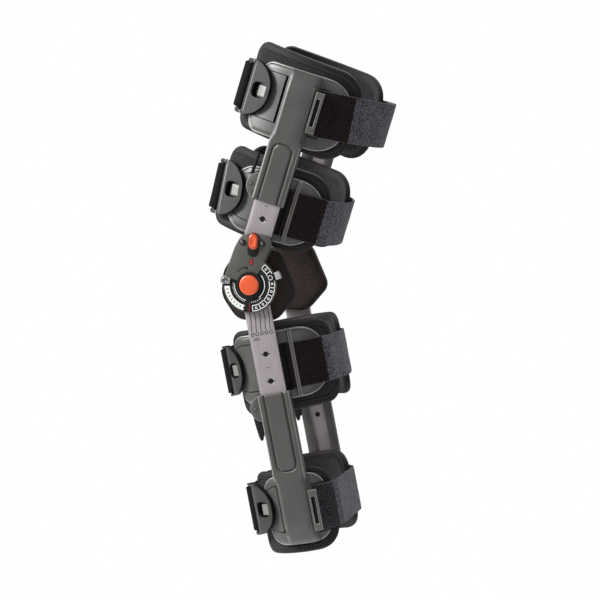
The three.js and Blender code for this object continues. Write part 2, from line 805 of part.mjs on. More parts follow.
function sidesOf(parent, lean = 0) {
  return ["lateral", "medial"].map((side) => {
    const group = new THREE.Group();
    group.rotation.y = lean * TURN;
    group.scale.y = side === "lateral" ? 1 : -1;
    parent.add(group);
    return { side, group };
  });
}

function addPair(sides, name, geometry, finish, x = 0, z = 0) {
  for (const { side, group } of sides) {
    add(group, `${name}_${side}`, geometry, finish).position.set(x, 0, z);
  }
}

const thighSides = sidesOf(thigh);
const calfSides = sidesOf(calf);
const housings = sidesOf(thigh, HOUSING_LEAN);

addPair(thighSides, "thigh_bar", thighBar(), "aluminium");
addPair(calfSides, "calf_bar", calfBar(), "aluminium");
addPair(housings, "hinge_cover", hingeCover(), "housing");
addPair(housings, "hinge_back_plate", hingeBackPlate(), "housing");
addPair(housings, "hinge_cap", hingeCap(), "orange");
addPair(housings, "lock_slider", lockSlider(), "orange");
addPair(housings, "hinge_rivet_front", rivetHead(), "rivet", RIVET.front, RIVET.up);
addPair(housings, "hinge_rivet_rear", rivetHead(), "rivet", RIVET.rear, RIVET.up);
addPair(housings, "condyle_pad", condylePad(), "pad");
for (const [name, stop] of Object.entries(STOPS)) addPair(housings, name, rangeStop(stop), "silver");

for (const name of Object.keys(SECTIONS)) {
  const section = new Section(SECTIONS[name]);
  const onThigh = name.startsWith("thigh");
  const sides = onThigh ? thighSides : calfSides;
  const shell = name in CHANNEL_ENDS ? endShell : middleShell;
  addPair(sides, `${name}_shell`, shell(name, section), "shell");
  addPair(sides, `${name}_pad`, padOf(name, section), "pad");
  addPair(sides, `${name}_clip`, clipOf(name, section), "shell");
  add(onThigh ? thigh : calf, `${name}_rear_strap`, rearStrap(name, section), "strap");
  add(onThigh ? thigh : calf, `${name}_front_strap`, frontStrap(name, section), "webbing");
}

export default brace;
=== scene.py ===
import math
from collections import namedtuple

import bmesh
import bpy
import numpy as np
from bpy.props import FloatProperty, FloatVectorProperty, PointerProperty
from bpy.types import Operator, Panel, PropertyGroup
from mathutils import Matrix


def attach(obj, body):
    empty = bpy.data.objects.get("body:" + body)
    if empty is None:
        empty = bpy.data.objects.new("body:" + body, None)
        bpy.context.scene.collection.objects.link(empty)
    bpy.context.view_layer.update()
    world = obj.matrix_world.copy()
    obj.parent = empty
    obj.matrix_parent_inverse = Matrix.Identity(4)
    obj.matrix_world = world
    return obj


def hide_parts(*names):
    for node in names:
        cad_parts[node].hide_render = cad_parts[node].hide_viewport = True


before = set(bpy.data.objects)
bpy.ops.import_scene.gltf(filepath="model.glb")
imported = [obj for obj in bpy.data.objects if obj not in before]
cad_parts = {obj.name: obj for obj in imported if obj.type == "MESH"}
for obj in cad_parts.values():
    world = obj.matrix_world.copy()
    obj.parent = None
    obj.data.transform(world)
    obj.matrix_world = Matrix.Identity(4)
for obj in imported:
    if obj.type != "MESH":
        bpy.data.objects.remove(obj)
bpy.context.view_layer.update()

bl_info = {
    "name": "Post-op knee brace",
    "version": (1, 0, 0),
    "blender": (4, 5, 0),
    "location": "View3D > Sidebar > Brace",
    "description": "Dresses the packed knee brace with cloth, moulded plastic, metal and dial marks",
    "category": "Object",
}

MM = 0.001
SIDES = ("lateral", "medial")

# Leans about the hinge axis in degrees, and the bars' offsets from it. All sizes are in millimetres.
LEAN = {"thigh": 17.25, "calf": -11.2, "housing": 3.25}
BAR_X = {"thigh": -8.3, "calf": 1.4}

# Distances out from the middle of the brace
BAR_IN, BAR_OUT = 73.5, 76.5
COVER_IN, COVER_OUT = 76.9, 82.5

# Distances off the cuffs' inner line
PAD_THICK = 9.0
PLATE_IN, PLATE_OUT = 9.4, 11.8
CLIP_IN, CLIP_OUT = 12.6, 17.6
STRAP_THICK, STRAP_WIDTH, STRAP_GAP, HOOK_THICK = 1.8, 48.0, 0.6, 0.9

# Inner line of each cuff: its bar, moving body, depths to the front and the back, half-width
CUFFS = {
    "thigh_upper": {"bar": "thigh", "body": "thigh_end", "front": 74, "back": 80, "side": 59.4},
    "thigh_lower": {"bar": "thigh", "body": "thigh", "front": 68, "back": 65, "side": 58.3},
    "calf_upper": {"bar": "calf", "body": "calf", "front": 50, "back": 53.2, "side": 56},
    "calf_lower": {"bar": "calf", "body": "calf_end", "front": 50.5, "back": 36.5, "side": 55},
}
# Pads: x of the front and back edges, heights, corner radii there, drop per mm to the back
PADS = {
    "thigh_upper": {"front": -76, "back": 52, "low": 147, "high": 241, "corners": (15, 27), "drop": 0.06},
    "thigh_lower": {"front": -74, "back": 50, "low": 43.5, "high": 130, "corners": (18, 29), "drop": 0.04},
    "calf_upper": {"front": -45, "back": 61, "low": -138, "high": -47, "corners": (16, 21), "drop": 0},
    "calf_lower": {"front": -50, "back": 37, "low": -288, "high": -199, "corners": (15, 24), "drop": 0},
}
# Pad skin: edge wall, outer and inner face, round edge, bound rim, sewn dip, crown, and slow puffs
PAD_SKIN = {
    "middle": 4.05, "wall": 0.12, "face": 8.3, "back": 0.5, "round": 3.6,
    "rim": 0.35, "dip": 0.75, "dip_wide": 0.65, "crown": 0.5, "crown_reach": 14,
    "puff": 0.12, "puff_long": (4.7, 5.3), "puff_reach": 6,
}
PAD_RIM_STEPS, PAD_DIP_STEPS = (0, 0.2, 0.7, 1.5, 2.6, 4.0), (-0.6, 0, 0.5, 1.4)
# Sewing: pitch in stitch lengths, distance in from the sewn dip, thread on the binding and on the tabs
STITCH = {"pitch": 1.25, "inset": 1.7, "binding": 0.6, "tab": 0.55}

# Shell plates: x of the front and back edges, heights, corner radii there, middle of the tongue
PLATES = {
    "thigh_upper": {"front": -60, "back": 44, "low": 151, "high": 227, "corners": (14, 27), "tongue": 192},
    "thigh_lower": {"front": -56, "back": 44, "low": 49, "high": 119, "corners": (26, 27), "tongue": 86},
    "calf_upper": {"front": -40, "back": 55, "low": -125, "high": -52, "corners": (14, 27), "tongue": -87},
    "calf_lower": {"front": -37, "back": 31, "low": -278, "high": -204, "corners": (18, 17), "tongue": -239},
}
PLATE_RIM = {
    "steps": (0, 0.12, 0.4, 0.8, 1.3, 1.9, 2.6, 3.3),
    "round": 1.3, "fall": 1.1, "groove": 2.5, "groove_deep": 0.5,
    "front_bends": (0.25, 0.4, 0.55, 0.75), "back_bends": (0.15, 0.22, 0.3, 0.4, 0.5, 0.62, 0.75),
}
# Cuts in the plates, from the bar: tongue's end slot, strap's opening, and the painted shadow strips at that
# opening's ends
SLOT_X, OPENING_X, OPENING_SHADOW_X = (-21.0, -18.0), (4.0, 25.4), (17.0, 29.0)
# Those painted shadow strips: from the strap's edge, and off the plate
OPENING_SHADOW = {"across": (0.3, 2.0), "lifts": (0.15, -0.6)}
TONGUE_HALF, TONGUE_ROOT, GROOVE, FILLET = 25.0, 4.0, 0.9, 4.0
RIB = {"from": 22.8, "to": 26.4, "rise": 4.4, "tunnel": 2.5, "foot": 0.6, "round": 1.6}
BOSSES = {"thigh_lower": (54, 80), "calf_upper": (-104, -64)}
BOSS_HALF = 7.8

# Rear straps: length of the end tab, height at the plate, rise at the back, distance off the line there
REAR_STRAPS = {
    "thigh_upper": {"tab": 38, "height": 189.5, "rise": 5.5, "off": STRAP_GAP},
    "thigh_lower": {"tab": 42, "height": 82, "rise": 0, "off": STRAP_GAP},
    "calf_upper": {"tab": 42, "height": -91, "rise": 0, "off": PAD_THICK + STRAP_GAP},
    "calf_lower": {"tab": 27, "height": -243, "rise": 0, "off": STRAP_GAP},
}
# Clips: height, half length, x of the flat side, depth; rise of the front strap, distance off the line
CLIPS = {
    "thigh_upper": {"height": 194, "half": 29, "flat": -77, "depth": 33, "rise": 0, "off": 7},
    "thigh_lower": {"height": 85, "half": 29, "flat": -74.5, "depth": 33, "rise": -3, "off": 7},
    "calf_upper": {"height": -87, "half": 27, "flat": -55.5, "depth": 24.5, "rise": 0, "off": 10},
    "calf_lower": {"height": -237.5, "half": 28, "flat": -58, "depth": 32, "rise": 0, "off": 11},
}
CLIP = {
    "bar": 3.4, "slot": 4, "play": 0.9, "tip": 3, "bow": 26, "foot": 4, "bow_steps": (0.006, 0.025, 0.06),
    "window": (16.5, 16.5), "wall": 1.6, "corner": 5.5, "corner_steps": (0.04, 0.15, 0.32, 0.55),
    "shoulder": 17.0, "post": (7.6, 11.6), "rim": 1.8, "rim_reach": 2.5,
    "ridge": (0.3, 1.2, 3.0, 3.9), "ridge_rise": 0.7,
}
# Rear straps' way past the channel, the plate's and pad's edges, and down from plate to pad
REAR_WAY = {"start": 1, "skew": 1.5, "past": 3, "down": 16}
# Front straps' knots from the clip's flat side and from the lift over its bar
FRONT_LIFT, FRONT_KNOTS = 1.3, [(6.4, -3.4), (2.9, 0), (-1, 0)]
# Straps' long edges and the slow ripple of the loop cloth, and the hook tabs with their sewn rows
STRAP_EDGE = {"steps": (0, 0.25, 0.7, 1.4), "round": 1.2, "rim": 0.1}
RIPPLE = {"high": 0.12, "along": 6.1, "skew": 9.0, "across": 7.3, "shift": 0.6}
HOOK = {"gap": 0.05, "narrower": 1.0, "seam_narrower": 3, "seam_rows": (2, 4)}

# Telescoping channels: way along the bar, inner end, ends of the field and the spine, fall to the back
CHANNELS = {
    "thigh_upper": {"way": 1, "inner": 86.5, "panel_end": 149, "spine_end": 209, "slope": 1.75},
    "calf_lower": {"way": -1, "inner": -115.5, "panel_end": -198, "spine_end": -260, "slope": 1.0},
}
CHANNEL = {
    "half": 17.6, "bore": 14.65, "slot": 8.6, "lip": 71.0, "out": 79.2, "play": 0.4, "skin": 3.0,
    "round": 3.2, "shoulder": 6.6, "mouth": 1.2, "panel": 10.6, "corner": 8.0, "ramp": 26.0, "solid": 12.0,
    "groove": 1.7, "groove_wide": 0.9, "field": 0.5, "field_reach": 1.8, "roof": COVER_IN + 0.12,
    "sunk": 0.4, "meet_before": 2, "meet_long": 12, "slope_from": 2, "slope_long": 12.5,
    "foot": 1.4, "foot_from": 3, "thick": 3.6, "least": 0.25, "light": (0.3, 1.5), "light_share": 0.7,
    "edge_steps": (0, 0.1, 0.35, 0.8, 1.4, 2.2, 3.2), "end_steps": (0, 0.2, 0.6, 1.2),
    "groove_steps": (-2.2, -1.6, -1.1, -0.6, 0, 0.6, 1.1, 1.6, 2.2),
}
BRIDGE = {
    "reach": 25.6, "tall": 43, "inside": 74.6, "outside": 76.8,
    "slit": (18.6, 23.0), "slit_tall": 29, "gap": (-1.6, -0.2),
}

# Ears beside the channels' inner ends and the levers under them, from there along the bar
EAR_OUTLINE = [(-13, -0.4), (-18.6, 0.2), (-24.6, 4.6), (-28, 10.5), (-28, 19), (-25, 24), (-15, 30)]
LEVERS = {
    "thigh_upper": [(-27.5, 20), (-24.5, 19), (-23.4, 45), (-23.8, 48), (-26, 48), (-26.6, 45)],
    "calf_lower": [(-27.5, 18), (-17, 18), (-17, 42), (-20.4, 43), (-21.6, 47.5), (-24.2, 48), (-26.4, 33)],
}
EAR_PIN = (-23.0, 14.0)
EAR = {
    "under": (70.4, 71.8), "plate": (71.6, 76.4), "lever": (70.4, 74.6), "shadow": 1.14,
    "pin": 76, "pin_radius": 1.7, "pin_ring": (1.9, 2.6), "pin_ring_tall": 0.5,
}

# Side bars: heights of their ends, height of the first hole, way to the next one
BARS = {
    "thigh": {"low": 27.0, "high": 197.0, "first": 69.0, "way": 1},
    "calf": {"low": -205.0, "high": 0.0, "first": -74.0, "way": -1},
}
BAR_HALF, HOLE_RADIUS, HOLE_PITCH, HOLE_COUNT = 14.25, 2.9, 28.6, 4
MARK_FACE = (BAR_OUT - 0.1, BAR_OUT + 0.04)
BAR_MARK = {"tick": (0.1, 2.6), "tick_half": 0.8, "dash": (1.8, 0.4)}
ENGRAVING = {
    "lines": (-27, -49.2), "wide": 0.9, "bend": 1.3, "bend_foot": -47, "bend_long": 11, "columns": 10.2,
    "rings": (1.2, 2.1), "ring_z": -51.9, "dashes": (-9.5, -3.5, -56.8, -56.0), "dash_pitch": 1.5,
}

# Hinge, in the housing's frame: x across the dial, z up its neck
DIAL_RADIUS, BAR_EYE = 29.0, 20.0
COVER_NECK = [
    (14.5, 25.1), (18.4, 35), (21, 43), (20.6, 49), (17, 52.6),
    (5, 54), (-8, 53), (-13.6, 49), (-19, 37), (-27.5, 9.2),
]
CONDYLE_OUTLINE = [(47.5, -8), (25, -37), (-15, -38), (-34, -14), (-33, 14), (-16, 34), (25, 36)]
LOCK = {"across": 2.1, "low": 37, "high": 54, "half": 5.1}
RIVETS = {"front": (-10.0, 44), "rear": (11.2, 44)}
CAP_RADIUS, RIVET_RADIUS, WASHER_RADIUS = 10.4, 2.0, 3.2
# Plate behind the bars: share of the housing's outline, inner face, gap to the bars
HOUSING_BACK = {"share": 0.88, "inside": 70.6, "gap": 0.4}
# Distances out on the dial: foot of its mouldings, their top, the print, the collar, the buttons' foot
DIAL_FOOT, DIAL_TOP, DIAL_INK = COVER_OUT - 0.2, COVER_OUT + 0.1, COVER_OUT + 0.17
COLLAR_OUT, BUTTON_FOOT = COVER_OUT + 1.3, COVER_OUT + 0.3
# Edge rounding of the hinge's pieces and the bars, in metres
BEVEL = {"bar": 0.0004, "cover": 0.0012, "back": 0.0005, "ring": 0.00025, "stop": 0.0005}
# Range stops: angle, outer radius, radii of plate and button, finishes of plate and button
STOPS = {
    "extension_stop": {"angle": 172.4, "out": 31.6, "plate": 31.6, "button": 26.8, "tones": (0, 3)},
    "flexion_stop": {"angle": 22.5, "out": 35.0, "plate": 29.2, "button": 24.6, "tones": (1, 1)},
}
# Their plate and skirt by radius and half angle, the button, and the ring on one of them
STOP = {
    "inside": 21.5, "half": 8, "thick": 1.0, "skirt": 29.6, "skirt_half": 7, "skirt_out": (-5, 1.6),
    "button": 3.2, "ring": (1.9, 2.6), "ring_out": (1.4, 2.1),
}
# Rows of ring scale and rise, from the foot of a button to its middle
CAP_RINGS = [(1, 0), (1, 1.8), (0.97, 2.3), (0.9, 2.65), (0.75, 2.9), (0.5, 3.1), (0.25, 3.2), (0.02, 3.2)]
LOCK_RINGS = [
    (1, -1.9), (1, 1.4), (0.96, 2.3), (0.86, 3.1), (0.72, 3.6), (0.5, 3.3), (0.3, 2.9), (0.02, 2.8),
]
RIVET_RINGS = [(1, 0.3), (0.96, 0.9), (0.75, 1.3), (0.4, 1.5), (0.04, 1.6)]
WASHER_RINGS = [(1, 0), (1, 0.5), (0.9, 0.8), (0.05, 0.6)]
BUTTON_RINGS = [(1, 0), (1, 1.4), (0.9, 1.9), (0.65, 2.0), (0.5, 1.6), (0.05, 1.5)]
PIN_RINGS = [(1, 0), (1, 0.7), (0.7, 1), (0.05, 1)]
# Knee cushion: its crowned face, and rows of ring scale and distance out for its back and its bound rim
CUSHION = {
    "corner": 9, "flat": 0.86, "edge": (0.9, 0.93, 0.96, 0.985, 1.0),
    "face": 57.2, "fall": 3.4, "fall_share": 0.2, "crown": 0.5,
}
CUSHION_BACK = [(1.0, 63.2), (0.985, 67.6), (0.96, 69.4), (0.9, 69.9), (0.6, 70.0), (0.02, 70.0)]
CUSHION_RIM = [
    (0.955, 61.2), (0.985, 60.4), (1.004, 60.9), (1.012, 62.2),
    (1.012, 68.2), (1.004, 69.4), (0.985, 70.0), (0.955, 69.6),
]
# Dial print. Arcs: radii and angles. Ticks: radii, angles, pitch, width. Fields: angles, count, radii
DIAL_ARCS = [
    (15.9, 16.5, 178, 258), (15.9, 16.7, -48, 42), (21.6, 23.2, 186, 259), (25.4, 27.2, 186, 259),
    (21.2, 22.0, -80, 57), (26.9, 27.7, -80, 57),
]
DIAL_TICKS = [(17.2, 18.3, 176, 260, 6, 1.6), (17.4, 18.6, -80, -44, 7, 2.0)]
WHITE_FIELDS = {"angles": (186, 259), "count": 8, "radii": (23.1, 25.5), "share": 0.72}
BOXED_FIELDS = {
    "angles": (-79, 56), "count": 7, "radii": (21.2, 27.7), "line": 0.9,
    "ring": (0.7, 1.3), "ring_at": 24.5,
}
# Dial moulding: ring, collar and arrow as radii and angles
DIAL_RING, DIAL_COLLAR, DIAL_ARROW = (13.0, 28.2, 164, 418), (10.8, 14.0, 0, 360), (18.6, 19.7, 100, 138)
# Place and radius of the arrow's tip, half width and ends of the lock's pocket
ARROW_TIP, ARROW_TIP_RADIUS, LOCK_POCKET = (-3.9, 17.4), 1.3, (6.3, 29.0, 55.0)
# Window, its pane and the pointer as left, right, low and high
WINDOW, PANE, POINTER = (-1.6, 2.6, 20.4, 27.8), (-0.9, 1.9, 21.2, 27.0), (0.7, 1.3, -27.4, -19)

# Stage in metres and watts, and the view that the photo gives: degrees, and its own pixels
LAMPS = {
    "key": ((-1.6, -0.95, 1.3), 0.6, 66),
    "left_box": ((-1.6, -0.7, 0.75), 0.7, 34),
    "fill": ((1.3, -1.7, 0.4), 1.2, 11),
    "rim": ((0.6, 0.9, 1.7), 0.9, 40),
}
FLOOR_RADIUS, FLOOR_LEVEL = 0.95, -0.62
SKY = {"on_brace": 0.3, "behind": 1.0}
VIEW = {
    "around": 15.2, "up": 5.0, "far": 2.0, "pixel": 0.00108, "origin": (271.5, 279.3),
    "wide": 600, "sensor": 36.0,
}

# A closed body: points, faces, flat coordinates, finish of its faces, share of the edge rounding
Part = namedtuple("Part", "verts faces uv finish soft", defaults=(1.0,))
# A strap's way: stations by arc, distance off the line and side, and its arch from side to side
Strap = namedtuple("Strap", "cuff arc off side apex height rise middle half")


def display(red, green, blue):
    """Linear colour of a display colour from 0 to 255: each share raised to the display's curve."""
    share = np.array([red, green, blue]) / 255
    return tuple(np.where(share <= 0.04045, share / 12.92, ((share + 0.055) / 1.055) ** 2.4))


def colour(name, description, *rgb):
    """A colour that a user may change, given as a display colour."""
    return FloatVectorProperty(
        name=name, description=description, subtype="COLOR", size=3, min=0, max=1, default=display(*rgb)
    )


def length(name, description, default):
    """A length that a user may change, in metres."""
    return FloatProperty(
        name=name, description=description, subtype="DISTANCE", unit="LENGTH", default=default
    )


class BraceColours(PropertyGroup):
    """Colours of the brace's finishes"""

    shell: colour("Shell", "Moulded grey plastic of the shells", 67, 66, 64)
    # Shell edge: painted highlight, a lighter shell plastic on rounded edges, rims and shoulder lines where
    # light catches
    edge: colour("Shell edge", "Burnished rounded edges of the mouldings", 128, 127, 124)
    # Clip: the shell's plastic darkened as painted shade, so the clips read dimmer than the lit plates
    clip: colour("Clip", "Darker grain of the front clips", 51, 50, 49)
    housing: colour("Housing", "Dark moulded plastic of the hinge housing", 66, 65, 61)
    plush: colour("Pad face", "Loop-faced foam of the pads", 37, 35, 38)
    binding: colour("Pad binding", "Knitted tape round the pads", 23, 19, 19)
    loop: colour("Loop strap", "Charcoal loop pile of the rear straps", 74, 72, 78)
    hook: colour("Hook tab", "Smooth hook tape at the strap ends", 28, 22, 21)
    webbing: colour("Webbing", "Woven front straps", 12, 12, 12)
    bar: colour("Bar", "Satin anodised side bars", 168, 160, 164)
    orange: colour("Orange", "Hinge cap and drop lock", 198, 79, 42)
    ink: colour("Ink", "Printed marks on the dial", 214, 216, 212)


class BraceSizes(PropertyGroup):
    """Sizes of the finer details"""

    binding: length("Binding width", "Width of the tape round the pads", 0.0085)
    edge: length("Edge round", "Rounding of the moulded edges", 0.0009)
    stitch: length("Stitch", "Length of one sewn stitch", 0.0026)


# Surfaces


class CuffOutline:
    """The inner line of one cuff, by arc length from the bar, positive to the back.

    It is half an ellipse in front of the bar and half of another behind it, both equally wide.
    A point off the line is moved out along the line's normal.
    """

    def __init__(self, name):
        """Adds up the steps round the outline, a degree each, and sets the arc length to 0 at the bar."""
        row = CUFFS[name]
        self.bar = BAR_X[row["bar"]]
        self.front, self.back, self.side = row["front"], row["back"], row["side"]
        self.turns = np.radians(np.arange(-180, 181))
        x, y = self.at(self.turns, 0)
        arcs = np.concatenate([[0], np.cumsum(np.hypot(np.diff(x), np.diff(y)))])
        self.arcs = arcs - arcs[180]
        self.front_arc, self.back_arc = self.arcs[90], self.arcs[270]

    def at(self, turn, out):
        """x and y at a turn from the bar: the ellipse's point, moved out along its unit normal."""
        depth = np.where(np.sin(turn) >= 0, self.back, self.front)
        nx, ny = np.sin(turn) / depth, -np.cos(turn) / self.side
        size = np.hypot(nx, ny)
        x = self.bar + depth * np.sin(turn) + out * nx / size
        y = -self.side * np.cos(turn) + out * ny / size
        return x, y

    def place(self, arc, out, z):
        """Points at arc lengths, distances off the line and heights."""
        x, y = self.at(np.interp(arc, self.arcs, self.turns), out)
        return np.stack(np.broadcast_arrays(x, y, z), axis=-1)

    def reach(self, x, out):
        """Arc length on the outer half of the line where a point that far out has the given x."""
        arcs = np.linspace(self.front_arc, self.back_arc, 4000)
        return float(np.interp(x, self.place(arcs, out, 0)[:, 0], arcs))

    def beside(self, *offsets):
        """Arc lengths on the plate's face at offsets in x from the bar."""
        return [self.reach(self.bar + offset, PLATE_OUT) for offset in offsets]


def spread(low, high, step, near=(), lines=()):
    """Positions about a step apart from low to high, closer at the ends, and exactly on given lines."""
    near = np.asarray(near, float)
    inset = near.max() if len(near) else 0
    count = max(2, int(round((high - low - 2 * inset) / step)) + 1)
    base = np.concatenate([low + near, np.linspace(low + inset, high - inset, count), high - near])
    base = np.unique(base.round(4))
    for line in lines:
        base = base[(abs(base - line) > 0.45 * step) | (base <= low + inset) | (base >= high - inset)]
        base = base[abs(base - line) > 0.3]
    base = np.unique(np.concatenate([base, np.asarray(lines, float)]))
    return base[(base >= low - 1e-6) & (base <= high + 1e-6)]


def add_apart(places, more, least):
    """Places with more added, apart from those nearer than a least distance to one that is there."""
    apart = [spot for spot in more if abs(places - spot).min() > least]
    return np.unique(np.concatenate([places, apart]))


def quarter(share):
    """Height of a quarter circle that starts at a share of 0 and is level from 1 on."""
    return np.sqrt(1 - (1 - np.clip(share, 0, 1)) ** 2)


def ease(share):
    """Smooth step: three times the square less twice the cube of the share."""
    share = np.clip(share, 0, 1)
    return share * share * (3 - 2 * share)


def hump(distance, wide):
    """A bell curve: the exponential of less the squared distance in widths."""
    return np.exp(-((distance / wide) ** 2))


def within(values, pair):
    """Whether values lie between the two of a pair."""
    return (values > pair[0]) & (values < pair[1])


def middles(values):
    """Midpoints of neighbouring values."""
    return (values[:-1] + values[1:]) / 2


def cell_means(grid):
    """Mean of the four corners of each cell of a grid."""
    return (grid[:-1, :-1] + grid[1:, 1:] + grid[1:, :-1] + grid[:-1, 1:]) / 4


def run_along(points):
    """Length of a path up to each of its points."""
    return np.concatenate([[0], np.cumsum(np.linalg.norm(np.diff(points, axis=0), axis=1))])


def facing(x, out, z):
    """Points on the outer side at x, a distance out from the middle of the brace, and height z."""
    return np.stack(np.broadcast_arrays(x, -np.asarray(out, float), z), axis=-1)


def flat_map(across, up):
    """Flat coordinates of a grid, in metres."""
    return np.stack(np.broadcast_arrays(across, up), axis=-1) * MM


def corner_cut(arc, start, end, corners, rises=None):
    """How much a rounded corner takes off the half height at an arc: an ellipse's quarter at each end."""
    rises = corners if rises is None else rises
    first = rises[0] * (1 - quarter((arc - start) / corners[0]))
    last = rises[1] * (1 - quarter((end - arc) / corners[1]))
    return np.maximum(first, last)


def edge_distance(arc, z, start, end, half, corners):
    """Distance in from the edge of a rounded rectangle, with the corner radius of the nearer end."""
    middle = (start + end) / 2
    corner = np.where(arc < middle, *corners)
    qx = abs(arc - middle) - ((end - start) / 2 - corner)
    qz = abs(z) - (half - corner)
    beyond = np.hypot(np.maximum(qx, 0), np.maximum(qz, 0))
    return corner - beyond - np.minimum(np.maximum(qx, qz), 0)


def slab(outer, inner, uv, keep=None, finish=0):
    """A closed wall between two grids of points, with a side wall where a kept cell has no neighbour."""
    rows, columns = outer.shape[:2]
    index = np.arange(rows * columns).reshape(rows, columns)
    below = rows * columns
    if keep is None:
        keep = np.ones((rows - 1, columns - 1), bool)
    top = np.stack([index[:-1, :-1], index[1:, :-1], index[1:, 1:], index[:-1, 1:]], axis=-1)[keep]
    ringed = np.pad(keep, 1)
    walls = []
    for near, far, first, second in (
        (ringed[:-1, 1:-1], ringed[1:, 1:-1], index[:, :-1], index[:, 1:]),
        (ringed[1:-1, :-1], ringed[1:-1, 1:], index[:-1, :], index[1:, :]),
    ):
        edge = near != far
        p, q = first[edge], second[edge]
        walls.append(np.stack([p, q, q + below, p + below], axis=-1))
    verts = np.concatenate([outer.reshape(-1, 3), inner.reshape(-1, 3)])
    flat = np.asarray(uv, float).reshape(-1, 2)
    return Part(verts, [top, top[:, ::-1] + below, *walls], np.concatenate([flat, flat]), finish)


def face_finish(part, outer, inner, walls):
    """Finish of each face of a slab: by cell outside, by cell or one inside, and one on its walls."""
    cells = len(part.faces[0])
    sides = sum(map(len, part.faces[2:]))
    return np.concatenate([outer, np.broadcast_to(inner, cells), np.full(sides, walls)]).astype(np.int32)


def stacked_rings(outline, scales, outs, centre=(0, 0), finish=0):
    """A closed form of rings: each ring is the flat outline scaled about a centre, at a distance out."""
    outline, middle = np.asarray(outline, float), np.asarray(centre, float)
    flat = middle + np.asarray(scales, float)[:, None, None] * (outline - middle)[None]
    rings, count = flat.shape[:2]
    verts = facing(flat[..., 0], np.asarray(outs, float)[:, None], flat[..., 1]).reshape(-1, 3)
    index = np.arange(rings * count).reshape(rings, count)
    after = np.roll(index, -1, axis=1)
    quads = np.stack([index[:-1], after[:-1], after[1:], index[1:]], axis=-1).reshape(-1, 4)
    return Part(verts, [quads, index[:1], index[-1:, ::-1]], verts[:, [0, 2]] * MM, finish)


def dome(outline, rows, foot, centre=(0, 0), finish=0):
    """Stacked rings from rows of a scale and a rise above the foot."""
    scales, rises = np.array(rows).T
    return stacked_rings(outline, scales, foot + rises, centre, finish)


def prism(outline, inside, outside, finish=0):
    """A flat outline in x and z carried straight out between two distances."""
    return stacked_rings(outline, [1, 1], [inside, outside], finish=finish)


def box_outline(left, right, low, high):
    """Corners of a rectangle."""
    return [(left, low), (right, low), (right, high), (left, high)]


def stadium(x, half, low, high, count=16):
    """Outline of a slot: half a circle at each end, joined by straight sides."""
    turn = np.linspace(0, math.pi, count)
    top = np.stack([x + half * np.cos(turn), high - half + half * np.sin(turn)], axis=1)
    foot = np.stack([x - half * np.cos(turn), low + half - half * np.sin(turn)], axis=1)
    return np.concatenate([top, foot])


def circle(radius, count, centre=(0, 0)):
    """Points evenly round a circle."""
    turn = np.linspace(0, 2 * math.pi, count, endpoint=False)
    return np.stack([centre[0] + radius * np.cos(turn), centre[1] + radius * np.sin(turn)], axis=1)


def rounded(outline, passes):
    """Corner cutting: each pass replaces a point by two, a quarter of the way along its sides."""
    points = np.asarray(outline, float)
    for _ in range(passes):
        step = (np.roll(points, -1, axis=0) - points) / 4
        points = np.stack([points + step, points + 3 * step], axis=1).reshape(-1, 2)
    return points


def round_corners(outline, reach, count=7):
    """A curve at each corner: a parabola from a point before it to one after it, a fixed reach away."""
    points = np.asarray(outline, float)
    to_last, to_next = np.roll(points, 1, axis=0) - points, np.roll(points, -1, axis=0) - points
    start = points + reach * to_last / np.linalg.norm(to_last, axis=1, keepdims=True)
    end = points + reach * to_next / np.linalg.norm(to_next, axis=1, keepdims=True)
    t = np.linspace(0, 1, count)[None, :, None]
    curve = (1 - t) ** 2 * start[:, None] + 2 * t * (1 - t) * points[:, None] + t**2 * end[:, None]
    return curve.reshape(-1, 2)


def inset_loop(start, end, half, corners, inset):
    """A closed rounded rectangle a fixed way in from its edge: a quarter circle at each corner in turn."""
    front, back = corners
    quarters = []
    spots = ((end, back, 1, -1), (end, back, 1, 1), (start, front, -1, 1), (start, front, -1, -1))
    for step, (edge, corner, across, up) in enumerate(spots):
        turn = np.radians(np.linspace(90 * step - 90, 90 * step, 12))
        middle = (edge - across * corner, up * (half - corner))
        quarters.append(middle + (corner - inset) * np.stack([np.cos(turn), np.sin(turn)], axis=1))
    return np.concatenate([*quarters, quarters[0][:1]])


def arc_band(inside, outside, start, end, low, high, finish=0, centre=(0, 0), step=3.0):
    """A flat ring sector: radius by angle on a grid, between two distances out."""
    angles = np.radians(np.linspace(start, end, max(2, int(abs(end - start) / step) + 1)))
    radii = np.array([inside, outside])
    x = centre[0] + np.cos(angles)[:, None] * radii
    z = centre[1] + np.sin(angles)[:, None] * radii
    return slab(facing(x, high, z), facing(x, low, z), flat_map(x, z), finish=finish)


def ribbon(x, z, wide, low, high):
    """A thin line on a flat face: a curve of x over z, half its width to either side."""
    across, up = x[:, None] + np.array([-wide / 2, wide / 2]), z[:, None]
    return slab(facing(across, high, up), facing(across, low, up), flat_map(across, up))


def holed_cell(x, z, half_wide, half_tall, radius):
    """Cells from a round hole to the rectangle round it: straight steps from the circle to the sides."""
    side, one = np.linspace(-1, 1, 9)[:-1], np.ones(8)
    rim = [np.stack(pair, axis=1) for pair in ((side, -one), (one, side), (-side, one), (-one, -side))]
    rim = np.concatenate(rim) * (half_wide, half_tall)
    turn = np.radians(-135 + 11.25 * np.arange(32))
    hole = radius * np.stack([np.cos(turn), np.sin(turn)], axis=1)
    share = np.array([0, 0.18, 0.55, 1])[:, None, None]
    points = np.array([x, z]) + hole * (1 - share) + rim * share
    index = np.arange(128).reshape(4, 32)
    after = np.roll(index, -1, axis=1)
    quads = np.stack([index[:-1], index[1:], after[1:], after[:-1]], axis=-1).reshape(-1, 4)
    return points.reshape(-1, 2), quads


def plain_cells(x, low, high, half_wide):
    """A row of cells across a bar between two heights."""
    sides = x + half_wide * np.linspace(-1, 1, 9)
    points = np.concatenate([np.stack([sides, np.full(9, z)], axis=1) for z in (low, high)])
    index = np.arange(8)
    return points, np.stack([index, index + 1, index + 10, index + 9], axis=1)


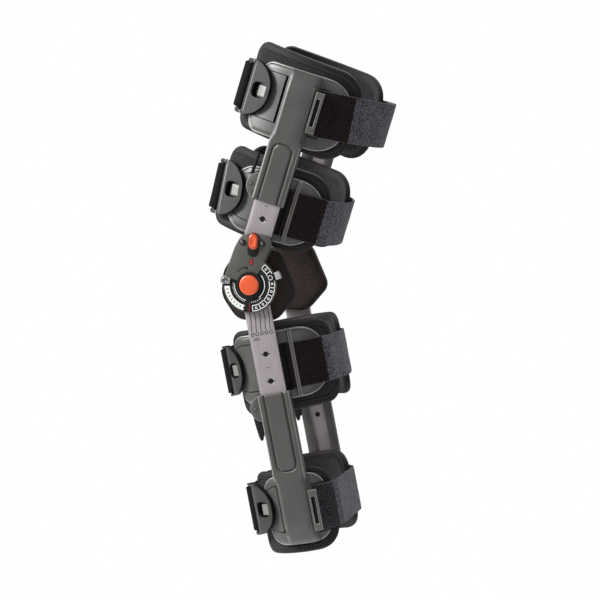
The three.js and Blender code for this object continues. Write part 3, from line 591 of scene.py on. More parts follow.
def plate_of_cells(cells, inside, outside):
    """A flat plate of four-sided cells: both faces, and a wall along each side that only one cell has."""
    shifts = np.cumsum([0] + [len(points) for points, _ in cells[:-1]])
    points = np.concatenate([points for points, _ in cells])
    quads = np.concatenate([group + shift for (_, group), shift in zip(cells, shifts)])
    flat, where = np.unique(np.round(points, 4), axis=0, return_inverse=True)
    quads = where.ravel()[quads]
    sides = np.stack([quads, np.roll(quads, -1, axis=1)], axis=-1).reshape(-1, 2)
    _, first, count = np.unique(np.sort(sides, axis=1), axis=0, return_index=True, return_counts=True)
    rim = sides[first[count == 1]]
    below = len(flat)
    verts = np.concatenate([facing(flat[:, 0], out, flat[:, 1]) for out in (outside, inside)])
    walls = np.stack([rim[:, 1], rim[:, 0], rim[:, 0] + below, rim[:, 1] + below], axis=1)
    return Part(verts, [quads, quads[:, ::-1] + below, walls], verts[:, [0, 2]] * MM, 0)


def capsules(centres, along, out, long, thick):
    """Stitches: a six-sided thread of four rings, tapered at its ends, copied to each centre."""
    along = along / np.linalg.norm(along, axis=1, keepdims=True)
    out = out / np.linalg.norm(out, axis=1, keepdims=True)
    turn = np.linspace(0, 2 * math.pi, 6, endpoint=False)
    reach = np.array([-0.5, -0.3, 0.3, 0.5])[:, None] * long
    radius = np.array([0.35, 1, 1, 0.35])[:, None] * thick / 2
    sag = np.array([-0.6, 0.2, 0.2, -0.6])[:, None] * thick / 2
    base = np.stack([reach + 0 * turn, radius * np.cos(turn), radius * np.sin(turn) + sag], axis=-1)
    axes = np.stack([along, np.cross(along, out), out], axis=1)
    verts = centres[:, None, :] + np.einsum("vk,nkd->nvd", base.reshape(-1, 3), axes)
    verts = verts.reshape(-1, 3)
    ring = np.arange(24).reshape(4, 6)
    after = np.roll(ring, -1, axis=1)
    quads = np.stack([ring[:-1], after[:-1], after[1:], ring[1:]], axis=-1).reshape(-1, 4)
    ends = np.stack([ring[0], ring[-1][::-1]])
    shift = (np.arange(len(centres)) * 24)[:, None, None]
    faces = [(quads[None] + shift).reshape(-1, 4), (ends[None] + shift).reshape(-1, 6)]
    return Part(verts, faces, verts[:, [0, 2]] * MM, 0)


# Pieces


def in_row(verts, lean, side):
    """Turns points about the hinge axis, mirrors them for the inner side, and makes them metres."""
    turn = math.radians(lean)
    x, y, z = np.asarray(verts, float).T
    flip = 1 if side == "lateral" else -1
    turned = (x * math.cos(turn) + z * math.sin(turn), flip * y, z * math.cos(turn) - x * math.sin(turn))
    return np.stack(turned, axis=1) * MM


def part_mesh(name, part, place):
    """A mesh of one part: its points placed, and its faces, finish and flat coordinates set whole."""
    groups = [group for group in part.faces if len(group)]
    loops = np.concatenate([group.ravel() for group in groups]).astype(np.int32)
    sizes = np.concatenate([np.full(len(group), group.shape[1]) for group in groups]).astype(np.int32)
    mesh = bpy.data.meshes.new(name)
    mesh.vertices.add(len(part.verts))
    mesh.vertices.foreach_set("co", in_row(part.verts, *place).astype(np.float32).ravel())
    mesh.loops.add(len(loops))
    mesh.loops.foreach_set("vertex_index", loops)
    mesh.polygons.add(len(sizes))
    starts = np.concatenate([[0], np.cumsum(sizes)[:-1]]).astype(np.int32)
    mesh.polygons.foreach_set("loop_start", starts)
    finish = np.broadcast_to(np.asarray(part.finish, np.int32), len(sizes))
    mesh.polygons.foreach_set("material_index", np.ascontiguousarray(finish))
    mesh.uv_layers.new(name="UVMap").data.foreach_set("uv", part.uv[loops].astype(np.float32).ravel())
    mesh.update(calc_edges=True)
    mesh.validate()
    return mesh


def tidy_mesh(mesh, bevel, sharp, edge_highlight_finish):
    """Welds a mesh, drops loose points, turns its faces out and rounds its sharp edges, giving the rounds a
    set finish: on the mouldings, the painted edge highlight.
    """
    work = bmesh.new()
    work.from_mesh(mesh)
    bmesh.ops.remove_doubles(work, verts=work.verts, dist=1e-6)
    loose = [vert for vert in work.verts if not vert.link_faces]
    bmesh.ops.delete(work, geom=loose, context="VERTS")
    bmesh.ops.recalc_face_normals(work, faces=work.faces)
    if bevel:
        edges = [e for e in work.edges if len(e.link_faces) == 2 and e.calc_face_angle() > sharp]
        bmesh.ops.bevel(
            work, geom=edges, offset=bevel, segments=2, profile=0.5, affect="EDGES", clamp_overlap=True,
            material=edge_highlight_finish,
        )
    work.to_mesh(mesh)
    work.free()


def make_piece(name, parts, finishes, body, slot, place, nodes=(), bevel=0, sharp=40, edge_highlight_finish=-1):
    """Joins parts into one named object, each welded and rounded alone, and hands it to the frame."""
    whole = bmesh.new()
    for part in parts:
        mesh = part_mesh(name, part, place)
        # Parts in their main finish take the painted edge highlight on their rounds
        gets_edge_highlight = np.ndim(part.finish) or part.finish == 0
        tidy_mesh(mesh, bevel * part.soft, math.radians(sharp), edge_highlight_finish if gets_edge_highlight else -1)
        whole.from_mesh(mesh)
        bpy.data.meshes.remove(mesh)
    mesh = bpy.data.meshes.new(name)
    whole.to_mesh(mesh)
    whole.free()
    for finish in finishes:
        mesh.materials.append(bpy.data.materials[finish])
    mesh.polygons.foreach_set("use_smooth", np.ones(len(mesh.polygons), bool))
    mesh.set_sharp_from_angle(angle=math.radians(sharp))
    piece = bpy.data.objects.new(name, mesh)
    bpy.context.scene.collection.objects.link(piece)
    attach(piece, body)
    if nodes:
        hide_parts(*nodes)
    return piece


def both_sides(name, parts, finishes, body, slot, lean, node=None, **looks):
    """Makes a piece on the outer side and its mirror on the inner side, each in place of its own node."""
    made = []
    for side in SIDES:
        nodes = [f"{node}_{side}"] if node else ()
        place = (lean, side)
        carrier = body.format(side=side)
        made.append(make_piece(f"{name}_{side}", parts, finishes, carrier, slot, place, nodes, **looks))
    return made


# Finishes


class Finish:
    """A procedural material: one Principled shader and the nodes that feed it."""

    def __init__(self, name, base, roughness, **sockets):
        """Makes the shader and sets its even values, with _ for a space in a socket's name."""
        self.material = bpy.data.materials.new(name)
        self.material.use_nodes = True
        self.tree = self.material.node_tree
        self.shader = self.tree.nodes["Principled BSDF"]
        self.shader.inputs["Base Color"].default_value = (*base, 1)
        self.shader.inputs["Roughness"].default_value = roughness
        for socket, value in sockets.items():
            self.shader.inputs[socket.replace("_", " ")].default_value = value
        self.coords = self.node("ShaderNodeTexCoord")

    def node(self, kind, links=None, values=None, **settings):
        """A node with its settings, its sockets' values and the links into it."""
        made = self.tree.nodes.new(kind)
        for key, value in settings.items():
            setattr(made, key, value)
        for socket, value in (values or {}).items():
            made.inputs[socket].default_value = value
        for socket, source in (links or {}).items():
            self.tree.links.new(source, made.inputs[socket])
        return made

    def noise(self, scale, detail=2.0, rough=0.5, stretch=(1, 1, 1)):
        """Noise on the object's own coordinates, stretched by axis."""
        space = {"Vector": self.coords.outputs["Object"]}
        mapping = self.node("ShaderNodeMapping", space, {"Scale": stretch})
        values = {"Scale": scale, "Detail": detail, "Roughness": rough}
        return self.node("ShaderNodeTexNoise", {"Vector": mapping.outputs["Vector"]}, values).outputs["Fac"]

    def waves(self, scale, direction):
        """Straight bands along one of the flat coordinates."""
        space = {"Vector": self.coords.outputs["UV"]}
        made = self.node("ShaderNodeTexWave", space, {"Scale": scale}, bands_direction=direction)
        return made.outputs["Fac"]

    def math(self, operation, first, second):
        """Two numbers or outputs put together."""
        made = self.node("ShaderNodeMath", operation=operation)
        for socket, value in zip(made.inputs, (first, second)):
            if isinstance(value, (int, float)):
                socket.default_value = value
            else:
                self.tree.links.new(value, socket)
        return made.outputs["Value"]

    def tint(self, source, dark, light, low=0.3, high=0.7):
        """Colour between a dark and a light shade by the source."""
        ramp = self.node("ShaderNodeValToRGB", {"Fac": source})
        for stop, place, tone in zip(ramp.color_ramp.elements, (low, high), (dark, light)):
            stop.position = place
            stop.color = (*tone, 1)
        self.tree.links.new(ramp.outputs["Color"], self.shader.inputs["Base Color"])

    def gloss(self, source, low, high):
        """Roughness between two values by the source."""
        span = self.node("ShaderNodeMapRange", {"Value": source}, {"To Min": low, "To Max": high})
        self.tree.links.new(span.outputs["Result"], self.shader.inputs["Roughness"])

    def bump(self, height, strength, distance):
        """Fine relief by the height."""
        made = self.node("ShaderNodeBump", {"Height": height}, {"Strength": strength, "Distance": distance})
        self.tree.links.new(made.outputs["Normal"], self.shader.inputs["Normal"])


def shade(base, share):
    """A colour made darker or lighter by a share."""
    return tuple(min(1.0, channel * share) for channel in base)


def moulded_plastic(name, base, roughness=0.42, specular=0.45):
    """Matte nylon: slow mottling of the colour and a fine moulded grain."""
    made = Finish(name, base, roughness, Specular_IOR_Level=specular)
    slow = made.noise(38, 3)
    made.tint(slow, shade(base, 0.9), shade(base, 1.1))
    made.gloss(slow, roughness - 0.06, roughness + 0.08)
    made.bump(made.noise(2200, 2), 0.2, 0.0001)


def loop_pile(name, base, contrast, scale, sheen):
    """Brushed loop cloth: speckled short pile that scatters light at its edge."""
    made = Finish(name, base, 0.95, Sheen_Weight=sheen, Sheen_Roughness=0.5, Specular_IOR_Level=0.12)
    pile = made.math("MULTIPLY", made.noise(scale, 3, 0.6), 0.9)
    drift = made.math("MULTIPLY", made.noise(90, 2), 0.1)
    both = made.math("ADD", pile, drift)
    made.tint(both, shade(base, 1 - contrast), shade(base, 1 + contrast), 0.43, 0.57)
    made.bump(both, 0.9, 0.0006)


def knit_tape(name, base, ribs, roughness=0.75, direction="X", specular=0.2):
    """Woven or knitted tape: fine ribs along one way and a weaker weft across them."""
    sockets = {"Sheen_Weight": 0.02, "Sheen_Roughness": 0.4, "Specular_IOR_Level": specular}
    made = Finish(name, base, roughness, **sockets)
    weft = made.waves(ribs * 0.6, "Y" if direction == "X" else "X")
    weave = made.math("ADD", made.waves(ribs, direction), made.math("MULTIPLY", weft, 0.5))
    made.tint(made.math("MULTIPLY", weave, 0.6), shade(base, 0.65), shade(base, 1.45))
    made.bump(weave, 0.35, 0.0002)


def satin_metal(name, base, roughness, stretch):
    """Brushed metal: long faint streaks in colour, gloss and relief."""
    made = Finish(name, base, roughness, Metallic=0.65)
    streak = made.noise(900, 3, 0.6, stretch)
    made.tint(streak, shade(base, 0.9), shade(base, 1.06))
    made.gloss(streak, roughness - 0.07, roughness + 0.07)
    made.bump(streak, 0.08, 0.0001)


def gloss_plastic(name, base):
    """Glossy moulded plastic with slight waves in its skin."""
    made = Finish(name, base, 0.32, Coat_Weight=0.25, Coat_Roughness=0.15)
    skin = made.noise(160, 2)
    made.tint(skin, shade(base, 0.94), shade(base, 1.05))
    made.bump(skin, 0.06, 0.0003)


def printed_ink(name, base):
    """Screen-printed ink: nearly even, with small breaks in its cover."""
    made = Finish(name, base, 0.6)
    made.tint(made.noise(1800, 3), shade(base, 0.84), base, 0.3, 0.5)


def mix_finishes(context):
    """Makes the brace's materials, once."""
    if "shell_nylon" in bpy.data.materials:
        return
    tones = context.scene.brace_colours
    moulded_plastic("shell_nylon", tones.shell)
    # The clips' plastic: a darker copy of the shell's, painted shade
    moulded_plastic("clip_nylon_painted_shade", tones.clip, 0.6, 0.14)
    # Painted highlight for rounded edges and rims: a lighter copy of the shell's plastic
    moulded_plastic("painted_edge_highlight", tones.edge, 0.34, 0.6)
    moulded_plastic("post_nylon", shade(tones.shell, 2.6))
    moulded_plastic("housing_nylon", tones.housing, 0.38)
    # Black for the real black parts, and for the panels, strips and walls painted black as shadow
    moulded_plastic("black_plastic_and_painted_shadow", display(13, 13, 13), 0.5, 0.25)
    loop_pile("pad_plush", tones.plush, 0.5, 1100, 0.05)
    loop_pile("strap_loop", tones.loop, 0.95, 1000, 0.06)
    loop_pile("tab_loop", shade(tones.loop, 0.35), 0.9, 1000, 0.03)
    loop_pile("knee_cloth", display(44, 37, 34), 0.35, 900, 0.02)
    loop_pile("hook_tape", tones.hook, 0.6, 900, 0.0)
    knit_tape("pad_binding", tones.binding, 130, 0.7, "Y", 0.25)
    knit_tape("front_webbing", tones.webbing, 150, 0.8, "Y", 0.08)
    knit_tape("sewing_thread", display(20, 19, 20), 400, 0.6)
    knit_tape("binding_thread", display(74, 70, 70), 400, 0.6)
    satin_metal("bar_aluminium", tones.bar, 0.42, (1, 1, 0.06))
    satin_metal("stop_metal", display(200, 200, 204), 0.25, (1, 1, 0.2))
    satin_metal("rivet_metal", display(92, 92, 90), 0.25, (1, 1, 1))
    gloss_plastic("orange_plastic", tones.orange)
    gloss_plastic("orange_painted_shade", shade(tones.orange, 0.62))
    gloss_plastic("red_window", display(150, 30, 34))
    printed_ink("dial_ink", tones.ink)
    printed_ink("bar_ink", display(44, 40, 43))


# Pads


def pad_span(name):
    """A pad's inner line, its row, the arcs of its two ends and half its height."""
    cuff, row = CuffOutline(name), PADS[name]
    start, end = cuff.reach(row["front"], PAD_THICK), cuff.reach(row["back"], PAD_THICK)
    return cuff, row, start, end, (row["high"] - row["low"]) / 2


def pad_level(row, arc, z):
    """Height of a pad's point: the pad's middle, less the drop to the back, plus the height in the pad."""
    return (row["low"] + row["high"]) / 2 - row["drop"] * arc + z


def pad_skins(deep, binding):
    """Distances off the inner line of a pad's two faces, by the distance in from its edge.

    Both start at the edge's wall and round out to the faces. The outer one adds a bound rim, half a sine
    high, less a bell-shaped sewn dip at the binding's end, plus an eased crown inside it.
    """
    skin = PAD_SKIN
    rise = quarter(deep / skin["round"])
    rim = skin["rim"] * np.sin(np.pi * np.clip(deep / binding, 0, 1)) ** 0.7
    dip = skin["dip"] * hump(deep - binding, skin["dip_wide"])
    crown = skin["crown"] * ease((deep - binding) / skin["crown_reach"])
    outside = skin["middle"] + skin["wall"] + (skin["face"] - skin["middle"]) * rise + rim - dip + crown
    return outside, skin["middle"] - skin["wall"] - (skin["middle"] - skin["back"]) * rise + 0.3 * dip


def pad_part(name, binding):
    """A foam pad bent round the inner line: its two skins over arc and height, finer at the edge."""
    cuff, row, start, end, half = pad_span(name)
    near = np.concatenate([PAD_RIM_STEPS, [0.75 * binding], binding + np.array(PAD_DIP_STEPS)])
    bend = np.linspace(0, 1, 12)
    bends = [start + row["corners"][0] * bend, end - row["corners"][1] * bend]
    arc = np.unique(np.concatenate([spread(start, end, 2.4, near), *bends]).round(3))
    arc = arc[np.concatenate([[True], np.diff(arc) > 0.15])][:, None]
    tall = half - corner_cut(arc, start, end, row["corners"])
    low = near[:-1] - tall
    z = np.concatenate([low, np.linspace(-1, 1, 33) * (tall - near[-1]), -low[:, ::-1]], axis=1)
    arc = np.broadcast_to(arc, z.shape)
    deep = edge_distance(arc, z, start, end, half, row["corners"])
    waves = np.sin(arc / PAD_SKIN["puff_long"][0]) * np.sin(z / PAD_SKIN["puff_long"][1])
    puff = PAD_SKIN["puff"] * waves * ease((deep - binding) / PAD_SKIN["puff_reach"])
    outside, inside = pad_skins(deep, binding)
    level = pad_level(row, arc, z)
    layers = [cuff.place(arc, off, level) for off in (outside + puff, inside)]
    part = slab(*layers, flat_map(arc + z, deep))
    bound = (cell_means(deep) < binding).ravel()
    return part._replace(finish=face_finish(part, bound, bound, 1))


def pad_stitches(name, binding, stitch):
    """A sewn row round a pad's binding: stitches end to end, a fixed way in from the pad's edge."""
    cuff, row, start, end, half = pad_span(name)
    inset = binding - STITCH["inset"]
    loop = inset_loop(start, end, half, row["corners"], inset)
    run = run_along(loop)
    spots = np.arange(0, run[-1] - stitch, stitch * STITCH["pitch"])
    skin = pad_skins(inset, binding)[0]

    def on_pad(ahead, lift):
        """Points on the outer skin: the loop's arc and height at each run, moved off the pad by a lift."""
        arc, z = (np.interp(spots + ahead, run, axis) for axis in loop.T)
        return cuff.place(arc, skin + lift, pad_level(row, arc, z))

    centres = on_pad(0, 0)
    return capsules(centres, on_pad(0.5, 0) - centres, on_pad(0, 1) - centres, stitch, STITCH["binding"])


def knee_cushion_parts():
    """The cushion inside the hinge: scaled rings of its outline, with a crowned face and a bound rim."""
    row = CUSHION
    outline = round_corners(CONDYLE_OUTLINE, row["corner"])
    share = np.concatenate([np.linspace(0.02, row["flat"], 12), row["edge"]])
    fall = row["fall"] * (1 - quarter((1 - share) / row["fall_share"]))
    face = row["face"] + fall + row["crown"] * (share / row["flat"]) ** 2
    body = dome(outline, [*zip(share, face), *CUSHION_BACK], 0)
    return [body, dome(outline, CUSHION_RIM, 0, finish=1)]


# Shells and clips


def plate_part(name):
    """The moulded plate on the pad: a rounded panel with gaps round the tongue and for the strap.

    Its edge is a quarter round with a fine groove inside it, both by the distance from the outline, and
    beside the channel its face rises in a quarter-round fillet.
    """
    cuff, row = CuffOutline(name), PLATES[name]
    start, end = cuff.reach(row["front"], PLATE_OUT), cuff.reach(row["back"], PLATE_OUT)
    middle, half = (row["low"] + row["high"]) / 2, (row["high"] - row["low"]) / 2
    slot, opening = cuff.beside(*SLOT_X), cuff.beside(*OPENING_X)
    wall, root = cuff.beside(-CHANNEL["half"])[0], start + TONGUE_ROOT
    tongue = row["tongue"] - middle
    grooves = [tongue + way * TONGUE_HALF + edge * GROOVE / 2 for way in (-1, 1) for edge in (-1, 1)]
    strap = [REAR_STRAPS[name]["height"] - middle + way * TONGUE_HALF for way in (-1, 1)]
    if name in CHANNELS:
        fillet_lines = [wall - FILLET * share for share in (0.2, 0.4, 0.65, 1)]
        lines, levels, cut = [root, *slot, *fillet_lines], grooves, (slot, grooves[::3])
    else:
        lines, levels, cut = [root, *slot, *opening], grooves + strap, (opening, strap)
    first, last = row["corners"]
    bends = [start + first * share for share in PLATE_RIM["front_bends"]]
    bends += [end - last * share for share in PLATE_RIM["back_bends"]]
    arc = add_apart(spread(start, end, 2.6, PLATE_RIM["steps"], lines), bends, 0.6)[:, None]
    level = spread(-half, half, 3.2, PLATE_RIM["steps"], levels)
    z = plate_heights(level, half, half - corner_cut(arc, start, end, row["corners"]))
    mid_arc, mid_level = middles(arc), middles(level)[None]
    in_groove = within(mid_level, grooves[:2]) | within(mid_level, grooves[2:])
    gaps = within(mid_arc, (root, slot[1])) & in_groove
    gaps |= within(mid_arc, cut[0]) & within(mid_level, cut[1])
    arc = np.broadcast_to(arc, z.shape)
    deep = edge_distance(arc, z, start, end, half, row["corners"])
    outside = PLATE_OUT - PLATE_RIM["fall"] * (1 - quarter(deep / PLATE_RIM["round"]))
    outside = outside - PLATE_RIM["groove_deep"] * hump(deep - PLATE_RIM["groove"], 0.5)
    if name in CHANNELS:
        up = CHANNELS[name]["way"] * z
        weight = ease((abs(z - tongue) - TONGUE_HALF + 1) / 5) * (arc <= wall) * (up > 0)
        weight = weight * quarter((half - up) / CHANNEL["ramp"]) ** 6
        outside = outside + weight * FILLET * (1 - quarter(abs(arc - wall) / FILLET))
    layers = [cuff.place(arc, out, middle + z) for out in (outside, PLATE_IN)]
    part = slab(*layers, flat_map(arc, z), ~gaps)
    # Cells on the rounded rim take the lighter edge finish as painted highlight
    rim = cell_means(deep) < PLATE_RIM["round"]
    # The slab's walls, at the gaps and round the outline, are black as painted shade
    return part._replace(finish=face_finish(part, rim[~gaps], 0, 2), soft=0)


def plate_heights(level, half, tall):
    """Heights of a plate's grid: kept near the middle, squeezed further out, a fixed way in at the edge."""
    still, inset = 3.0, PLATE_RIM["steps"][-1]
    size = abs(level)
    squeezed = still + (size - still) * (tall - inset - still) / (half - inset - still)
    squeezed = np.where(size <= still, size, squeezed)
    return np.sign(level) * np.where(size >= half - inset - 1e-6, tall - half + size, squeezed)


def clip_points(name, along, up, out):
    """Points of the clip's own plane, turned with the strap about the slot's middle."""
    cuff, row = CuffOutline(name), CLIPS[name]
    flat = cuff.reach(row["flat"], CLIP_OUT)
    pivot = flat + CLIP["bar"] + CLIP["slot"] - 1
    tilt = math.atan(-2 * row["rise"] / (pivot - cuff.front_arc))
    arc = flat + along - pivot
    turned_arc = pivot + arc * math.cos(tilt) - up * math.sin(tilt)
    return cuff.place(turned_arc, out, row["height"] + arc * math.sin(tilt) + up * math.cos(tilt))


def clip_slab(name, along, up, outside, inside, keep=None, finish=0):
    """A wall on the clip's plane between two distances off the inner line."""
    layers = [clip_points(name, along, up, out) for out in (outside, inside)]
    return slab(*layers, flat_map(along, up), keep, finish)


def clip_window(name):
    """Start and end of the clip's window along the clip."""
    end = CLIPS[name]["depth"] - CLIP["tip"]
    return max(end - CLIP["window"][0], CLIP["bar"] + CLIP["slot"] + CLIP["wall"]), end


def clip_heights(level, hole, tall, half):
    """Heights of a clip's grid: even steps to the window's edge, on to a shoulder, and on to the outline."""
    size, edge, shoulder = abs(level), CLIP["window"][1] / 2, CLIP["shoulder"]
    bend = np.where(tall > shoulder + 2, shoulder, (hole + tall) / 2)
    between = hole + (size - edge) / (shoulder - edge) * (bend - hole)
    beyond = bend + (size - shoulder) / (half - shoulder) * (tall - bend)
    past_window = np.where(size <= shoulder, between, beyond)
    return np.sign(level) * np.where(size <= edge, size * hole / edge, past_window)


def clip_part(name):
    """The D-shaped clip: a straight side, a bowed side, a strap slot and a window with round corners.

    Beside the slot a low ridge runs along the face, and beside the strap's ends the face rises in a rim.
    """
    depth, half = CLIPS[name]["depth"], CLIPS[name]["half"]
    slot, window = (CLIP["bar"], CLIP["bar"] + CLIP["slot"]), clip_window(name)
    play, corner, tip = CLIP["play"], CLIP["corner"], CLIP["tip"]
    slot_half, hole_half = STRAP_WIDTH / 2 + play, CLIP["window"][1] / 2
    bow = min(CLIP["bow"], depth - CLIP["foot"])
    ridge_foot = slot[1] + np.array(CLIP["ridge"])
    turns = corner * np.array(CLIP["corner_steps"])
    bends = [*(window[0] + turns), *(window[1] - turns), *(depth - bow * np.array(CLIP["bow_steps"]))]
    along = add_apart(spread(0, depth, 1.6, (0, 0.9), [*slot, *window, *ridge_foot]), bends, 0.12)[:, None]
    edges = [way * edge for way in (-1, 1) for edge in (hole_half, slot_half, slot_half + play)]
    level = spread(-half, half, 2.6, (0, 0.6), edges)
    tall = half - corner_cut(along, 0, depth, (tip, bow), (tip, half - tip))
    beside = np.clip(along, *window)
    hole = hole_half - corner_cut(beside, *window, (corner, corner))
    hole = hole + (hole_half - hole) * ease(abs(along - beside) / 5)
    up = clip_heights(level, np.minimum(hole, 0.7 * tall), tall, half)
    mid_along, mid_level = middles(along), middles(level)[None]
    gaps = within(mid_along, slot) & within(mid_level, (-slot_half, slot_half))
    gaps |= within(mid_along, window) & within(mid_level, (-hole_half, hole_half))
    # Painted highlight: the ridge's sloping cells take the shell's lighter plastic
    light = (within(mid_along, ridge_foot[:2]) | within(mid_along, ridge_foot[2:])) & ~gaps
    along = np.broadcast_to(along, up.shape)
    ridge = np.interp(along, ridge_foot, (0, CLIP["ridge_rise"], CLIP["ridge_rise"], 0))
    rim = CLIP["rim"] * ease((abs(up) - slot_half) / play)
    rim = rim * (1 - ease((along - slot[1]) / CLIP["rim_reach"]))
    part = clip_slab(name, along, up, CLIP_OUT + ridge + rim, CLIP_IN, ~gaps)
    # Its walls round the outline, slot and window are black as painted shade
    return part._replace(finish=face_finish(part, 3 * light[~gaps], 0, 2), soft=0.6)


def post_part(name):
    """The post in the clip's window, a block on the clip's turned plane with a dished, ribbed top."""
    wide, tall = CLIP["post"]
    right = clip_window(name)[1] - 0.6
    share = np.linspace(0, 1, 13)[:, None]
    along, up = np.broadcast_arrays(right - wide + wide * share, np.linspace(-tall / 2, tall / 2, 9)[None])
    dish = 0.5 * np.sin(np.pi * share) + 0.2 * np.sin(4 * np.pi * share) ** 2
    return clip_slab(name, along, up, CLIP_OUT - dish, PLATE_IN + 1, finish=3)


def shadow_part(name):
    """The painted shadow under the clip's window: a thin black panel on the clip's turned plane."""
    start, end = clip_window(name)
    beyond = 0.8
    reach = CLIP["window"][1] / 2 + beyond
    along, up = np.linspace(start - beyond, end + beyond, 5)[:, None], np.linspace(-reach, reach, 5)[None]
    along, up = np.broadcast_arrays(along, up)
    return clip_slab(name, along, up, CLIP_IN - 0.3, PLATE_OUT - 0.8, finish=2)


def rib_part(name):
    """The rib over the rear strap: a bar along the plate, open underneath where the strap passes."""
    cuff, row = CuffOutline(name), PLATES[name]
    low, high = row["low"] + 1, row["high"] - 1
    height, foot = REAR_STRAPS[name]["height"], RIB["foot"]
    start, end = cuff.beside(RIB["from"], RIB["to"])
    z = spread(low, high, 3.0, (0, 0.6, 1.6, 3.0), [height - TONGUE_HALF, height + TONGUE_HALF])
    arc, z = np.broadcast_arrays(np.linspace(start, end, 4)[:, None], z[None])
    ends = quarter(np.minimum(z - low, high - z) / RIB["round"])
    over = abs(z - height) < TONGUE_HALF
    bottom = PLATE_OUT + np.where(over, RIB["tunnel"], -foot)
    top = PLATE_OUT + foot + (RIB["rise"] - foot) * ends
    return slab(cuff.place(arc, top, z), cuff.place(arc, bottom, z), flat_map(arc, z))


def channel_ends(name):
    """A channel's way along the bar, and its heights where it starts, meets the plate and ends on it."""
    row, plate = CHANNELS[name], PLATES[name]
    way = row["way"]
    meets, tip = (plate["low"], plate["high"])[::way]
    return way, row["inner"], meets, tip - way * 0.8


def channel_wall(name):
    """The channel's C-shaped wall: an outer and an inner profile, each with its mirror, along the bar."""
    bar = BAR_X[CUFFS[name]["bar"]]
    way, inner, meets, _ = channel_ends(name)
    half, bore, slot, lip, play = (CHANNEL[key] for key in ("half", "bore", "slot", "lip", "play"))
    high, low = CHANNEL["out"] - 2, BAR_IN - play
    z = spread(*sorted((inner, meets + way * 4)), 8.0)[None]
    outer = np.array([(slot, lip), (half, lip), (half, high - 1), (half - 1, high)])
    inside = np.array([(slot, low), (bore, low), (bore, COVER_IN - play), (bore - play, COVER_IN)])
    profiles = [np.concatenate([side, side[::-1] * (-1, 1)])[:, None] for side in (outer, inside)]
    layers = [facing(bar + profile[..., 0], profile[..., 1], z) for profile in profiles]
    return slab(*layers, flat_map(profiles[0][..., 0], z))


def channel_grid(name):
    """Grid of the channel's face: x finer at its edges and groove, z finer at its and the field's ends."""
    way, inner, _, outer = channel_ends(name)
    half, bore, panel, ramp = (CHANNEL[key] for key in ("half", "bore", "panel", "ramp"))
    fine = [side * panel + step for side in (-1, 1) for step in CHANNEL["groove_steps"]]
    fine += [side * (bore + step) for side in (-1, 1) for step in (-0.35, 0)]
    x = spread(-half, half, 1.6, CHANNEL["edge_steps"], fine)
    bend = CHANNELS[name]["panel_end"] - way * np.linspace(-3, 10, 22)
    fall = outer - way * ramp * np.linspace(0, 1, 16) ** 1.6
    z = np.concatenate([spread(*sorted((inner, outer)), 2.2, CHANNEL["end_steps"]), bend, fall])
    return np.broadcast_arrays(x[:, None], np.unique(z.round(3))[None])


def channel_face(name):
    """The channel's relief face, a height over x and z.

    It has a groove where the distance to a long round-ended outline is small, a raised field inside it,
    quarter-round long edges that go down to the plate where there is one, a gentle fall to the back, and
    a quarter-round fall to the plate at the outer end.
    """
    cuff, row = CuffOutline(name), CHANNELS[name]
    way, inner, meets, outer = channel_ends(name)
    half, bore, out, panel, corner = (CHANNEL[key] for key in ("half", "bore", "out", "panel", "corner"))
    skin, narrow, wide = (CHANNEL[key] for key in ("skin", "round", "shoulder"))
    x, z = channel_grid(name)
    beyond = np.maximum(way * (z - row["panel_end"]) + corner, 0)
    aside = np.maximum(abs(x) - (panel - corner), 0)
    inside = np.where((aside <= 0) & (beyond <= 0), corner, corner - np.hypot(aside, beyond))
    relief = CHANNEL["field"] * ease(inside / CHANNEL["field_reach"])
    relief = relief - CHANNEL["groove"] * hump(inside, CHANNEL["groove_wide"])
    arcs = np.linspace(cuff.front_arc, cuff.back_arc, 721)
    under = cuff.place(arcs, PLATE_OUT - CHANNEL["sunk"], 0.0)
    plate_out = np.interp(cuff.bar + x, under[:, 0], -under[:, 1])
    on_plate = ease((way * (z - meets) + CHANNEL["meet_before"]) / CHANNEL["meet_long"])
    side = quarter((half - abs(x)) / (narrow + (wide - narrow) * on_plate))
    edge = np.minimum(side, quarter(way * (z - inner) / CHANNEL["mouth"]))
    deep = skin + (out - plate_out - skin) * on_plate
    back = np.clip((x - CHANNEL["slope_from"]) / CHANNEL["slope_long"], 0, 1)
    slope = row["slope"] * back**2 * on_plate
    share = quarter(way * (outer - z) / CHANNEL["ramp"])
    face = plate_out + (out - plate_out + relief - deep * (1 - edge) - slope) * share
    hollow = (abs(x) < bore - 0.1) & (way * (z - outer) + CHANNEL["solid"] <= 0)
    past = way * (z - meets) > CHANNEL["foot_from"]
    foot = np.where(past, plate_out - CHANNEL["foot"], out - CHANNEL["thick"])
    foot = np.where(hollow, CHANNEL["roof"], foot)
    face = np.maximum(face, foot + CHANNEL["least"])
    cover = slab(facing(cuff.bar + x, face, z), facing(cuff.bar + x, foot, z), flat_map(x, z))
    # Painted highlight: a strip just in from each long edge, where x is negative or off the plate, takes the
    # lighter edge finish
    inset = half - abs(middles(x)[:, 1:])
    lit = (x[1:, 1:] < 0) | (on_plate[1:, 1:] < 0.1)
    light = within(inset, CHANNEL["light"]) & (share[1:, 1:] > CHANNEL["light_share"]) & lit
    return cover._replace(finish=face_finish(cover, light.ravel(), 0, 0), soft=0)


def spine_part(name):
    """The web between the plate and the channel: a block along the bar."""
    cuff = CuffOutline(name)
    way, _, meets, _ = channel_ends(name)
    half = CHANNEL["half"] - 0.3
    ends = sorted((meets + way * 6, CHANNELS[name]["spine_end"]))
    outline = box_outline(cuff.bar - half, cuff.bar + half, *ends)
    return prism(outline, cuff.side + PLATE_IN, CHANNEL["lip"] + 1)._replace(soft=0)


def boss_part(name):
    """The block between a middle plate and the bar that it is fixed to."""
    cuff = CuffOutline(name)
    outline = box_outline(cuff.bar - BOSS_HALF, cuff.bar + BOSS_HALF, *BOSSES[name])
    return prism(outline, cuff.side + PLATE_IN + 1, BAR_IN - 0.3)


